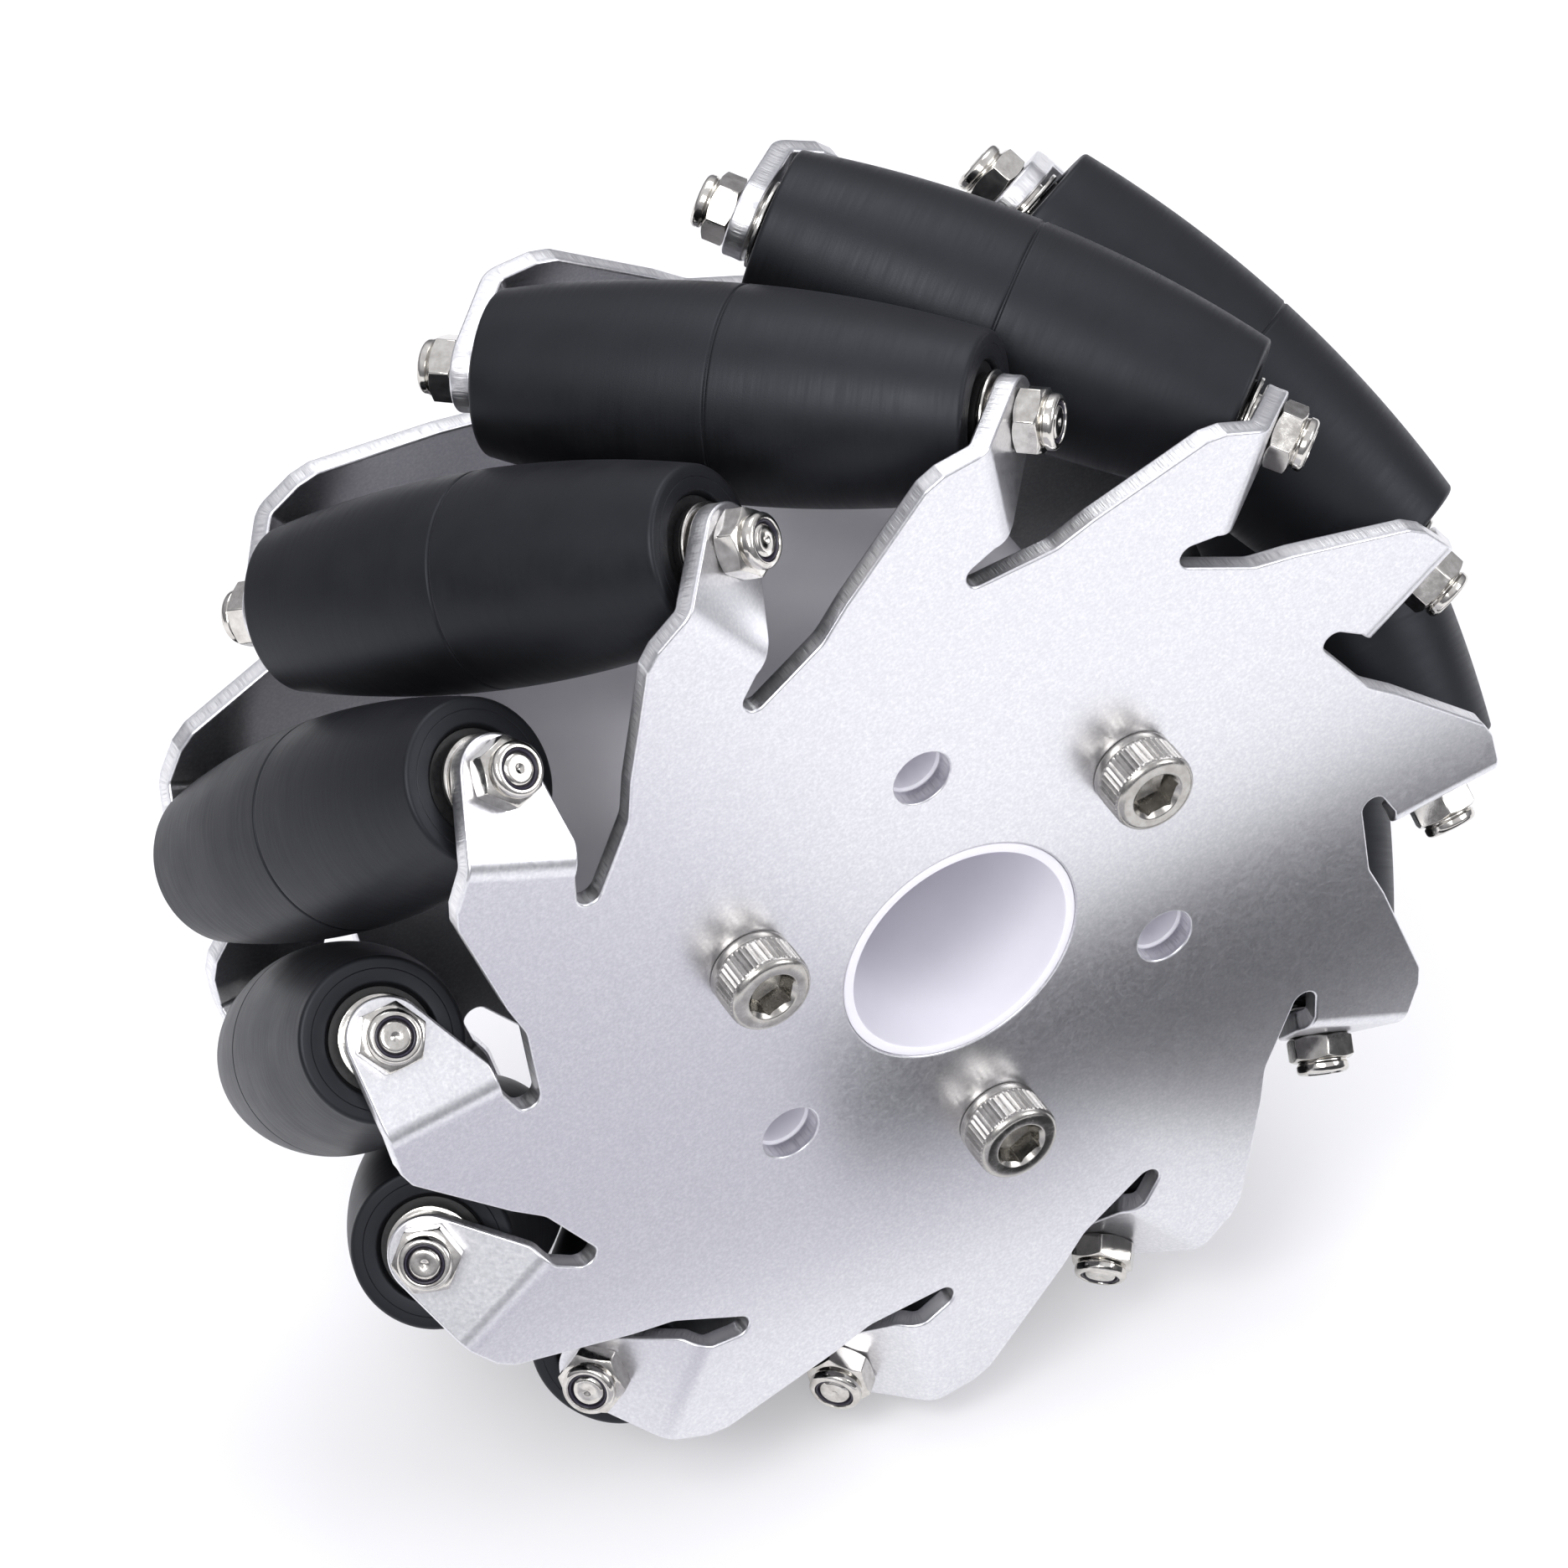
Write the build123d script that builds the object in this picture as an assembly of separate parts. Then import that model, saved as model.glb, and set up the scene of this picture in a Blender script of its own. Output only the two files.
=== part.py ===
from build123d import *
import math
import os

# A mecanum wheel: twelve barrel rollers on studs at 45 degrees, held between
# two flat plates with bent ears, a nylon hub core, and a clamped shaft
# coupling on the rear. Millimetres.
#
# Row frame: origin at the wheel's centre, wheel axis along Y, outer face
# towards -Y, shaft coupling towards +Y, +Z up.
# Local frame used below: wheel axis along z, outer face towards +z, x right
# and y up as seen from the outer side.

# ---- driving dimensions ----
WHEEL_R = 76.0          # rolling radius, over the rollers
ROLLERS = 12
STEP = 360.0 / ROLLERS
PHASE = 10.6            # angle of the first roller's middle
SLANT = 45.0            # roller axis against the wheel axis
AXIS_R = 64.0           # wheel axis to roller axis at the roller's middle
ROLLER_HALF = 28.0      # half of a roller's length

PLATE_OUT = 29.87       # wheel middle to a plate's outer face
PLATE_T = 2.5
EAR_OUT = 31.9          # roller middle to an ear's outer face, along the stud
BEND_IN = 1.0           # inner radius of the 45 degree bend
EAR_TIP_R = 4.7
EAR_X0, EAR_X1 = 55.3, 69.1
SLOT_C, SLOT_R = (51.4, 16.5), 1.5
PETAL = [(68.9, -9.8), (68.0, -7.4), (58.1, 3.96), (54.45, 7.54)]
PETAL_FILLET = {1: 1.6, 2: 2.5, 3: 4.0}

HUB_HOLE_R = 14.8       # centre hole of a plate
CORE_R = 34.4
SPIGOT_R = 14.75
CORE_BORE_R = 13.5
SCREW_PCR = 28.25       # six holes on this circle
PLATE_HOLE_R = 3.5
CLAMP_HOLE_R = 3.05     # close holes for the clamp screws, in core, disc and flange
SPARE_HOLE_R = 3.25     # free holes midway between them
SCREW_ANGLE = 40.6      # first screw; the others every 120 degrees

DISC_R, DISC_T = 36.0, 3.0
FLANGE_R, FLANGE_T = 34.5, 5.0
BOSS_R, BOSS_L = 15.0, 22.0
SHAFT_R = 6.0
SET_R = 2.5             # set screw thread, M5

STUD_R = 2.0            # M4 stud
STUD_HALF = 36.3
STUD_HOLE_R = 2.05
NUT_AF, NUT_H = 7.0, 4.5
INSERT_H = 1.0
WASHER_R, WASHER_T = 5.1, 0.55
WASHER_IN = 2.1
SPACER_R, SPACER_T = 3.3, 0.4   # raised middle of a washer, against the ear

TYRE_BORE_R = 6.0
CORE_END = 27.3         # roller core half length
BUSH_R, BUSH_L = 3.5, 8.0
BUSH_BORE_R = 2.05
BUSH_FLANGE_R, BUSH_FLANGE_T = 4.6, 0.9

G = math.sin(math.radians(SLANT))


def polar(r, deg):
    return (r * math.cos(math.radians(deg)), r * math.sin(math.radians(deg)))


def hole_r(i):
    # six holes on one circle: every second one takes a clamp screw
    return SPARE_HOLE_R if i % 2 else CLAMP_HOLE_R


def turn(p, deg):
    c, s = math.cos(math.radians(deg)), math.sin(math.radians(deg))
    return (p[0] * c - p[1] * s, p[0] * s + p[1] * c)


def roller_plane(deg):
    # origin at the roller's middle, x outwards, z along the stud to the
    # outer side, y from the stud towards the outer plate
    er = (*polar(1, deg), 0)
    et = (-er[1], er[0], 0)
    return Plane(
        origin=(AXIS_R * er[0], AXIS_R * er[1], 0),
        x_dir=er,
        z_dir=(-G * et[0], -G * et[1], G),
    )


def envelope(s):
    # radius of the barrel whose outermost points all lie on the rolling
    # cylinder, at distance s along the roller from its middle
    lo, hi = 1.0, 20.0
    for _ in range(40):
        m = (lo + hi) / 2
        top = 0.0
        for n in range(-60, 61):
            a = n * 0.012
            x = AXIS_R + m * math.cos(a)
            y = G * (m * math.sin(a) - s)
            top = max(top, x * x + y * y)
        if top > WHEEL_R * WHEEL_R:
            hi = m
        else:
            lo = m
    return lo


def tangent(p, c, r, side):
    # point where the line from p touches the circle; side +1 or -1
    dx, dy = c[0] - p[0], c[1] - p[1]
    d = math.hypot(dx, dy)
    a = math.atan2(dy, dx) + side * math.asin(r / d)
    t = math.sqrt(d * d - r * r)
    return (p[0] + t * math.cos(a), p[1] + t * math.sin(a))


# ---- side plate: flat part with slots, then twelve bent ears ----
bend_out = BEND_IN + PLATE_T
plate_in = PLATE_OUT - PLATE_T
ear_in = EAR_OUT - PLATE_T
corner_o = (PLATE_OUT - EAR_OUT / G, PLATE_OUT)
bend_y = corner_o[0] + bend_out * math.tan(math.radians(SLANT / 2))

edges = []
first = None
last = None
for i in range(ROLLERS):
    deg = PHASE + STEP * i
    pts = [(EAR_X0, bend_y), (EAR_X1, bend_y)] + PETAL
    nxt = turn((EAR_X0, bend_y), STEP)
    t_lead = tangent(pts[-1], SLOT_C, SLOT_R, 1)
    t_next = tangent(nxt, SLOT_C, SLOT_R, -1)
    if math.hypot(t_lead[0], t_lead[1]) > math.hypot(SLOT_C[0], SLOT_C[1]) + SLOT_R:
        raise ValueError("slot tangent")
    bx, by = SLOT_C
    mx, my = (t_lead[0] + t_next[0]) / 2 - bx, (t_lead[1] + t_next[1]) / 2 - by
    # the slot's end bulges away from its mouth
    ox, oy = (nxt[0] + pts[-1][0]) / 2 - bx, (nxt[1] + pts[-1][1]) / 2 - by
    n = math.hypot(ox, oy)
    mid = (bx - SLOT_R * ox / n, by - SLOT_R * oy / n)
    world = [turn(p, deg) for p in pts + [t_lead, mid, t_next, nxt]]
    for a, b in zip(world[: len(pts)], world[1 : len(pts) + 1]):
        edges.append(Line(a, b))
    lead, m_pt, nx, nn = world[len(pts)], world[len(pts) + 1], world[len(pts) + 2], world[len(pts) + 3]
    edges.append(ThreePointArc(lead, m_pt, nx))
    edges.append(Line(nx, nn))
outline = make_face(Wire(edges))
corners = {}
for i in range(ROLLERS):
    deg = PHASE + STEP * i
    for k, r in PETAL_FILLET.items():
        corners.setdefault(r, []).append(turn(PETAL[k], deg))
for r, pts in corners.items():
    picked = []
    for v in outline.vertices():
        if any(math.hypot(v.X - p[0], v.Y - p[1]) < 0.05 for p in pts):
            picked.append(v)
    outline = fillet(picked, r)
flat = extrude(outline, PLATE_T, dir=(0, 0, 1)).moved(Location((0, 0, plate_in)))

hinge = (bend_y, PLATE_OUT - bend_out)


def bend_point(r, deg):
    # point of the bend at radius r, turned deg from the flat plate
    t = math.radians(deg)
    return (hinge[0] - r * math.sin(t), hinge[1] + r * math.cos(t))


end_o = (-G * EAR_OUT - G * 7, G * EAR_OUT - G * 7)
end_i = (-G * ear_in - G * 7, G * ear_in - G * 7)
ear_face = make_face(Wire([
    ThreePointArc(bend_point(bend_out, 0), bend_point(bend_out, SLANT / 2), bend_point(bend_out, SLANT)),
    Line(bend_point(bend_out, SLANT), end_o),
    Line(end_o, end_i),
    Line(end_i, bend_point(BEND_IN, SLANT)),
    ThreePointArc(bend_point(BEND_IN, SLANT), bend_point(BEND_IN, SLANT / 2), bend_point(BEND_IN, 0)),
    Line(bend_point(BEND_IN, 0), bend_point(bend_out, 0)),
]))
ear_strip = extrude(ear_face, EAR_X1 - EAR_X0, dir=(0, 0, 1))
# the profile's x is the tangential direction and its y the wheel axis
ear_strip = Plane(origin=(EAR_X0, 0, 0), x_dir=(0, 1, 0), z_dir=(1, 0, 0)) * ear_strip
tip = (0.0, 0.0)
shoulder = (EAR_X0 - AXIS_R, 7.6)
outer_shoulder = (EAR_X1 - AXIS_R, 8.5)
t_left = tangent(shoulder, tip, EAR_TIP_R, -1)
t_alt = tangent(shoulder, tip, EAR_TIP_R, 1)
if t_alt[0] < t_left[0]:
    t_left = t_alt
t_right = tangent(outer_shoulder, tip, EAR_TIP_R, -1)
t_alt = tangent(outer_shoulder, tip, EAR_TIP_R, 1)
if t_alt[0] > t_right[0]:
    t_right = t_alt
ear_wire = Wire([
    Line((EAR_X0 - AXIS_R, 22), shoulder),
    Line(shoulder, t_left),
    ThreePointArc(t_left, (EAR_TIP_R * math.cos(math.radians(-75)), EAR_TIP_R * math.sin(math.radians(-75))), t_right),
    Line(t_right, outer_shoulder),
    Line(outer_shoulder, (EAR_X1 - AXIS_R, 22)),
    Line((EAR_X1 - AXIS_R, 22), (EAR_X0 - AXIS_R, 22)),
])
ear_outline = make_face(ear_wire)
shoulder_v = [v for v in ear_outline.vertices() if math.hypot(v.X - shoulder[0], v.Y - shoulder[1]) < 0.01]
ear_outline = fillet(shoulder_v, 2.5)
ear_prism = extrude(ear_outline, 30, dir=(0, 0, 1)).moved(Location((0, 0, 15)))
stud_cut = Cylinder(STUD_HOLE_R, 12).moved(Location((0, 0, EAR_OUT)))
base = roller_plane(0)
ear = ear_strip & (base * ear_prism)
ear = ear - (base * stud_cut)

front = flat
for i in range(ROLLERS):
    front = front + Rot(0, 0, PHASE + STEP * i) * ear
front = front - Cylinder(HUB_HOLE_R, 20).moved(Location((0, 0, PLATE_OUT)))
for i in range(6):
    x, y = polar(SCREW_PCR, SCREW_ANGLE + 60 * i)
    front = front - Cylinder(PLATE_HOLE_R, 20).moved(Location((x, y, PLATE_OUT)))

# the rear plate is the same pressing, turned over about a roller's radius
flip_axis = Axis((0, 0, 0), (*polar(1, PHASE), 0))


def flipped(shape):
    return shape.rotate(flip_axis, 180)


back = flipped(front)

# ---- hub core: nylon drum with a spigot through each plate ----
core = Cylinder(CORE_R, 2 * plate_in)
core = core + Cylinder(SPIGOT_R, 2 * PLATE_OUT)
core = core - Cylinder(CORE_BORE_R, 80)
for i in range(6):
    x, y = polar(SCREW_PCR, SCREW_ANGLE + 60 * i)
    core = core - Cylinder(hole_r(i), 80).moved(Location((x, y, 0)))
spigot_edges = [
    e for e in core.edges().filter_by(GeomType.CIRCLE)
    if abs(abs(e.center().Z) - PLATE_OUT) < 0.01 and e.radius < SPIGOT_R + 0.1
]
core = chamfer(spigot_edges, 0.25)

# ---- rear coupling ----
z_disc = -PLATE_OUT - DISC_T
z_flange = z_disc - FLANGE_T
z_boss = z_flange - BOSS_L
disc = Cylinder(DISC_R, DISC_T).moved(Location((0, 0, -PLATE_OUT - DISC_T / 2)))
disc = disc - Cylinder(CORE_BORE_R, 20).moved(Location((0, 0, -PLATE_OUT)))
coupling = Cylinder(FLANGE_R, FLANGE_T).moved(Location((0, 0, z_disc - FLANGE_T / 2)))
coupling = coupling + Cylinder(BOSS_R, BOSS_L + 1).moved(Location((0, 0, z_flange - BOSS_L / 2 + 0.5)))
for i in range(6):
    x, y = polar(SCREW_PCR, SCREW_ANGLE + 60 * i)
    hole = Cylinder(hole_r(i), 30).moved(Location((x, y, z_disc)))
    disc = disc - hole
    coupling = coupling - hole
rim = [
    e for e in coupling.edges().filter_by(GeomType.CIRCLE)
    if (abs(e.radius - FLANGE_R) < 0.01) or (abs(e.radius - BOSS_R) < 0.01 and e.center().Z < z_boss + 0.1)
]
coupling = chamfer(rim, 0.6)
coupling = coupling - Cylinder(SHAFT_R, 120).moved(Location((0, 0, z_boss)))
disc_rim = [e for e in disc.edges().filter_by(GeomType.CIRCLE) if abs(e.radius - DISC_R) < 0.01]
disc = chamfer(disc_rim, 0.5)
set_z = z_flange - BOSS_L * 0.5
SET_ANGLES = (SCREW_ANGLE, SCREW_ANGLE + 120)
set_screws = []
for deg in SET_ANGLES:
    p = Plane(origin=(0, 0, set_z), x_dir=(0, 0, 1), z_dir=(*polar(1, deg), 0))
    coupling = coupling - (p * Cylinder(SET_R, BOSS_R).moved(Location((0, 0, BOSS_R / 2 + 1))))
    body = Cylinder(SET_R, 8.0).moved(Location((0, 0, SHAFT_R + 0.3 + 4.0)))
    body = body - extrude(RegularPolygon(1.25, 6, major_radius=False), 3.0).moved(
        Location((0, 0, SHAFT_R + 0.3 + 8.0 - 3.0))
    )
    set_screws.append(p * body)

# ---- clamp screws through the whole wheel, with a nut and a lock nut ----
M6_R, M6_HEAD_R, M6_HEAD_H = 3.0, 5.0, 5.75
M6_AF, M6_NUT_H, M6_LOCK_H = 10.0, 5.0, 6.0
M6_LEN = 80.0


def hex_prism(af, h):
    return extrude(RegularPolygon(af / 2, 6, major_radius=False), h)


def hex_nut(af, h, r, top_chamfer=True):
    # across-corner chamfer cut by a cone-like revolve
    body = hex_prism(af, h)
    ac = af / 2 / math.cos(math.radians(30))
    cut = Cylinder(ac + 0.01, h).moved(Location((0, 0, h / 2)))
    ends = cut.edges().filter_by(GeomType.CIRCLE)
    if not top_chamfer:
        ends = [e for e in ends if e.center().Z < h / 2]
    c = ac - af / 2 + 0.02
    cut = chamfer(ends, length=c * 0.58, length2=c)
    body = body & cut
    return body - Cylinder(r, 4 * h)


def lock_nut(af, h, r, insert_h):
    # hexagon, rolled collar, and the pocket of the nylon ring
    hex_h = h * 0.66
    collar_r = af / 2 * 0.89
    body = hex_nut(af, hex_h, r)
    collar = Cylinder(collar_r, h - hex_h + 0.4).moved(Location((0, 0, (h + hex_h) / 2 - 0.2)))
    top = [e for e in collar.edges().filter_by(GeomType.CIRCLE) if e.center().Z > h - 0.01]
    collar = fillet(top, (h - hex_h) * 0.55)
    body = body + collar
    body = body - Cylinder(r, 6 * h)
    pocket_r = r * 1.14
    body = body - Cylinder(pocket_r, insert_h * 2).moved(Location((0, 0, h)))
    ring = Cylinder(pocket_r, insert_h - 0.15).moved(Location((0, 0, h - insert_h / 2 - 0.075)))
    ring = ring - Cylinder(r, 4 * h)
    return body, ring


m6_head = Cylinder(M6_HEAD_R, M6_HEAD_H).moved(Location((0, 0, M6_HEAD_H / 2)))
m6_top = [e for e in m6_head.edges().filter_by(GeomType.CIRCLE) if e.center().Z > M6_HEAD_H - 0.01]
m6_head = chamfer(m6_top, 0.6)
m6_head = m6_head - hex_prism(5.0, 3.2).moved(Location((0, 0, M6_HEAD_H - 3.2)))
m6_shank = Cylinder(M6_R, M6_LEN).moved(Location((0, 0, -M6_LEN / 2)))
m6_end = [e for e in m6_shank.edges().filter_by(GeomType.CIRCLE) if e.center().Z < -M6_LEN + 0.01]
m6_shank = chamfer(m6_end, 0.6)
m6_screw = m6_head + m6_shank
m6_nut = hex_nut(M6_AF, M6_NUT_H, M6_R)
m6_lock, m6_ring = lock_nut(M6_AF, M6_LOCK_H, M6_R, 1.6)
z_nut = z_flange
z_lock = z_flange - M6_NUT_H
clamp_screws, clamp_nuts, clamp_locks, clamp_rings = [], [], [], []
for i in range(3):
    deg = SCREW_ANGLE + 120 * i
    x, y = polar(SCREW_PCR, deg)
    clamp_screws.append(Location((x, y, PLATE_OUT), (0, 0, deg + 11 * i)) * m6_screw)
    down = Location((x, y, z_nut), (180, 0, deg + 17 * i))
    clamp_nuts.append(down * m6_nut)
    down = Location((x, y, z_lock), (180, 0, deg + 29 * i + 8))
    clamp_locks.append(down * m6_lock)
    clamp_rings.append(down * m6_ring)

# ---- roller studs, lock nuts and thrust washers ----
stud = Cylinder(STUD_R, 2 * STUD_HALF)
stud = chamfer(stud.edges().filter_by(GeomType.CIRCLE), 0.4)
m4_lock, m4_ring = lock_nut(NUT_AF, NUT_H, STUD_R, INSERT_H)
washer = Cylinder(WASHER_R, WASHER_T).moved(Location((0, 0, ear_in - SPACER_T - WASHER_T / 2)))
washer = washer + Cylinder(SPACER_R, SPACER_T + 0.1).moved(Location((0, 0, ear_in - (SPACER_T + 0.1) / 2)))
washer = washer - Cylinder(WASHER_IN, 100)

# ---- roller: rubber tyre on a plastic core with two flanged bushes ----
prof = [(envelope(s), s) for s in (0, 4, 8, 12, 16, 20, 24, ROLLER_HALF - 0.0)]
curve_pts = [(r, -s) for r, s in reversed(prof[1:])] + prof
side = Spline(*[(r, s) for r, s in curve_pts])
tyre_wire = Wire([
    side,
    Line(side @ 1, (TYRE_BORE_R, ROLLER_HALF)),
    Line((TYRE_BORE_R, ROLLER_HALF), (TYRE_BORE_R, -ROLLER_HALF)),
    Line((TYRE_BORE_R, -ROLLER_HALF), side @ 0),
])
tyre_face = make_face(tyre_wire)
tyre_face = Plane.XZ * tyre_face
tyre = revolve(tyre_face, Axis.Z, 360)
end_edges = [
    e for e in tyre.edges().filter_by(GeomType.CIRCLE)
    if abs(abs(e.center().Z) - ROLLER_HALF) < 0.01 and e.radius > TYRE_BORE_R + 0.5
]
tyre = fillet(end_edges, 0.5)
r_core = Cylinder(TYRE_BORE_R, 2 * CORE_END) - Cylinder(STUD_R + 0.7, 80)
r_core = r_core - Cylinder(BUSH_R, 2 * BUSH_L).moved(Location((0, 0, CORE_END)))
r_core = r_core - Cylinder(BUSH_R, 2 * BUSH_L).moved(Location((0, 0, -CORE_END)))
bush = Cylinder(BUSH_R, BUSH_L).moved(Location((0, 0, CORE_END - BUSH_L / 2)))
bush = bush + Cylinder(BUSH_FLANGE_R, BUSH_FLANGE_T).moved(Location((0, 0, CORE_END + BUSH_FLANGE_T / 2)))
bush = bush - Cylinder(BUSH_BORE_R, 100)
bush_back = Rot(180, 0, 0) * bush

nodes = {}
nodes["front_plate"] = [front]
nodes["back_plate"] = [back]
nodes["hub_core"] = [core]
nodes["adapter_disc"] = [disc]
nodes["shaft_coupling"] = [coupling]
nodes["coupling_set_screws"] = set_screws
nodes["clamp_screws"] = clamp_screws
nodes["clamp_nuts"] = clamp_nuts
nodes["clamp_lock_nuts"] = clamp_locks
nodes["clamp_lock_nut_rings"] = clamp_rings
studs, f_nuts, f_rings, f_wash = [], [], [], []
for i in range(ROLLERS):
    deg = PHASE + STEP * i
    p = roller_plane(deg)
    spin = Rot(0, 0, 23 * i + 10)
    studs.append(p * stud)
    f_nuts.append(p * (Location((0, 0, EAR_OUT)) * (spin * m4_lock)))
    f_rings.append(p * (Location((0, 0, EAR_OUT)) * (spin * m4_ring)))
    f_wash.append(p * washer)
    tag = f"{i + 1:02d}"
    nodes[f"roller_tyre_{tag}"] = [p * tyre]
    nodes[f"roller_core_{tag}"] = [p * r_core]
    nodes[f"roller_bushes_{tag}"] = [p * bush, p * bush_back]
nodes["roller_studs"] = studs
nodes["front_stud_lock_nuts"] = f_nuts
nodes["front_lock_nut_rings"] = f_rings
nodes["front_thrust_washers"] = f_wash
nodes["back_stud_lock_nuts"] = [flipped(s) for s in f_nuts]
nodes["back_lock_nut_rings"] = [flipped(s) for s in f_rings]
nodes["back_thrust_washers"] = [flipped(s) for s in f_wash]

# local frame to row frame: z (outer side) becomes -Y, y becomes +Z
stand = Rot(90, 0, 0)
os.makedirs("parts", exist_ok=True)
for name, shapes in nodes.items():
    solids = []
    for s in shapes:
        solids.extend((stand * s).solids())
    shape = solids[0] if len(solids) == 1 else Compound(solids)
    export_step(shape, f"parts/{name}.step")
    print(name, len(solids), round(sum(s.volume for s in solids), 1))
print("roller end radius", round(prof[-1][0], 3), "bend starts at", round(bend_y, 3))
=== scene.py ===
import math

import bmesh
import bpy
import numpy as np
from mathutils import Matrix, Vector
from mathutils.geometry import delaunay_2d_cdt


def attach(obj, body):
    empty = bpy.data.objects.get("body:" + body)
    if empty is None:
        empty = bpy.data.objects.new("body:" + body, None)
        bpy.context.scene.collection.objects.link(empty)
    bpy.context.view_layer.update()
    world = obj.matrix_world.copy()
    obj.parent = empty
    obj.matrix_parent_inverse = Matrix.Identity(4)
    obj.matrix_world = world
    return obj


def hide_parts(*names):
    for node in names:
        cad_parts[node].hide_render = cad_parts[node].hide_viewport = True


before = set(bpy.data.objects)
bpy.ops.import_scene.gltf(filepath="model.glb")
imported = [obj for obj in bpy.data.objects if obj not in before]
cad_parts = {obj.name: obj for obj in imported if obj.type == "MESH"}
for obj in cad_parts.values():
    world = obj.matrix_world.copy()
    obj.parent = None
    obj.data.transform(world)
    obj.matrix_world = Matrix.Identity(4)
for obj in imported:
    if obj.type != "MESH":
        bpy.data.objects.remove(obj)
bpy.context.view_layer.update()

# A mecanum wheel. Every mesh below is worked out in millimetres in the wheel's
# own frame (z along the axle towards the outer side, x right, y up as seen from
# the outer side), then written in metres in the row frame, where (x, y, z)
# becomes (x, -z, y).

# ------------------------------------------------------------------ dimensions
WHEEL_R, ROLLERS, PHASE, STEP = 76.0, 12, 10.6, 30.0
AXIS_R, ROLLER_HALF = 64.0, 28.0
PLATE_OUT, PLATE_T, EAR_OUT = 29.87, 2.5, 31.9
BEND_IN, EAR_TIP_R, EAR_X0, EAR_X1 = 1.0, 4.7, 55.3, 69.1
SLOT_C, SLOT_R = (51.4, 16.5), 1.5
PETAL = [(68.9, -9.8), (68.0, -7.4), (58.1, 3.96), (54.45, 7.54)]
PETAL_FILLET = [0.5, 1.6, 2.5, 4.0]
HUB_HOLE_R, CORE_R, SPIGOT_R, CORE_BORE_R = 14.8, 34.4, 14.75, 13.5
SCREW_PCR, PLATE_HOLE_R, CLAMP_HOLE_R, SPARE_HOLE_R = 28.25, 3.5, 3.05, 3.25
SCREW_ANGLE = 40.6
DISC_R, DISC_T, FLANGE_R, FLANGE_T = 36.0, 3.0, 34.5, 5.0
BOSS_R, BOSS_L, SHAFT_R = 15.0, 22.0, 6.0
STUD_HALF = 36.3
G = math.sin(math.radians(45))
BEND_OUT = BEND_IN + PLATE_T
BEND_Y = PLATE_OUT - EAR_OUT / G + BEND_OUT * math.tan(math.radians(22.5))
HINGE = (BEND_Y, PLATE_OUT - BEND_OUT)
BEND_LEN = BEND_OUT * math.pi / 4
EAR_END_W = G * (HINGE[0] - BEND_OUT * G + HINGE[1] + BEND_OUT * G)
TAGS = [f"{i:02d}" for i in range(1, ROLLERS + 1)]


def polar(r, deg):
    a = math.radians(deg)
    return r * math.cos(a), r * math.sin(a)


def spun(p, deg):
    c, s = math.cos(math.radians(deg)), math.sin(math.radians(deg))
    return p[0] * c - p[1] * s, p[0] * s + p[1] * c


def roller_frame(i):
    """Own frame of roller i: x outwards, z along the stud to the outer side."""
    deg = PHASE + STEP * i
    er = Vector((*polar(1, deg), 0))
    et = Vector((-er.y, er.x, 0))
    ez = Vector((0, 0, 1))
    a, w = G * (ez - et), G * (ez + et)
    m = Matrix((er, w, a)).transposed().to_4x4()
    m.translation = AXIS_R * er
    return m


FLIP = Matrix.Rotation(math.pi, 4, Vector((*polar(1, PHASE), 0)))


def at(x, y, z, deg=0.0, down=False):
    m = Matrix.Translation((x, y, z))
    if down:
        m = m @ Matrix.Rotation(math.pi, 4, "X")
    return m @ Matrix.Rotation(math.radians(deg), 4, "Z")


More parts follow.
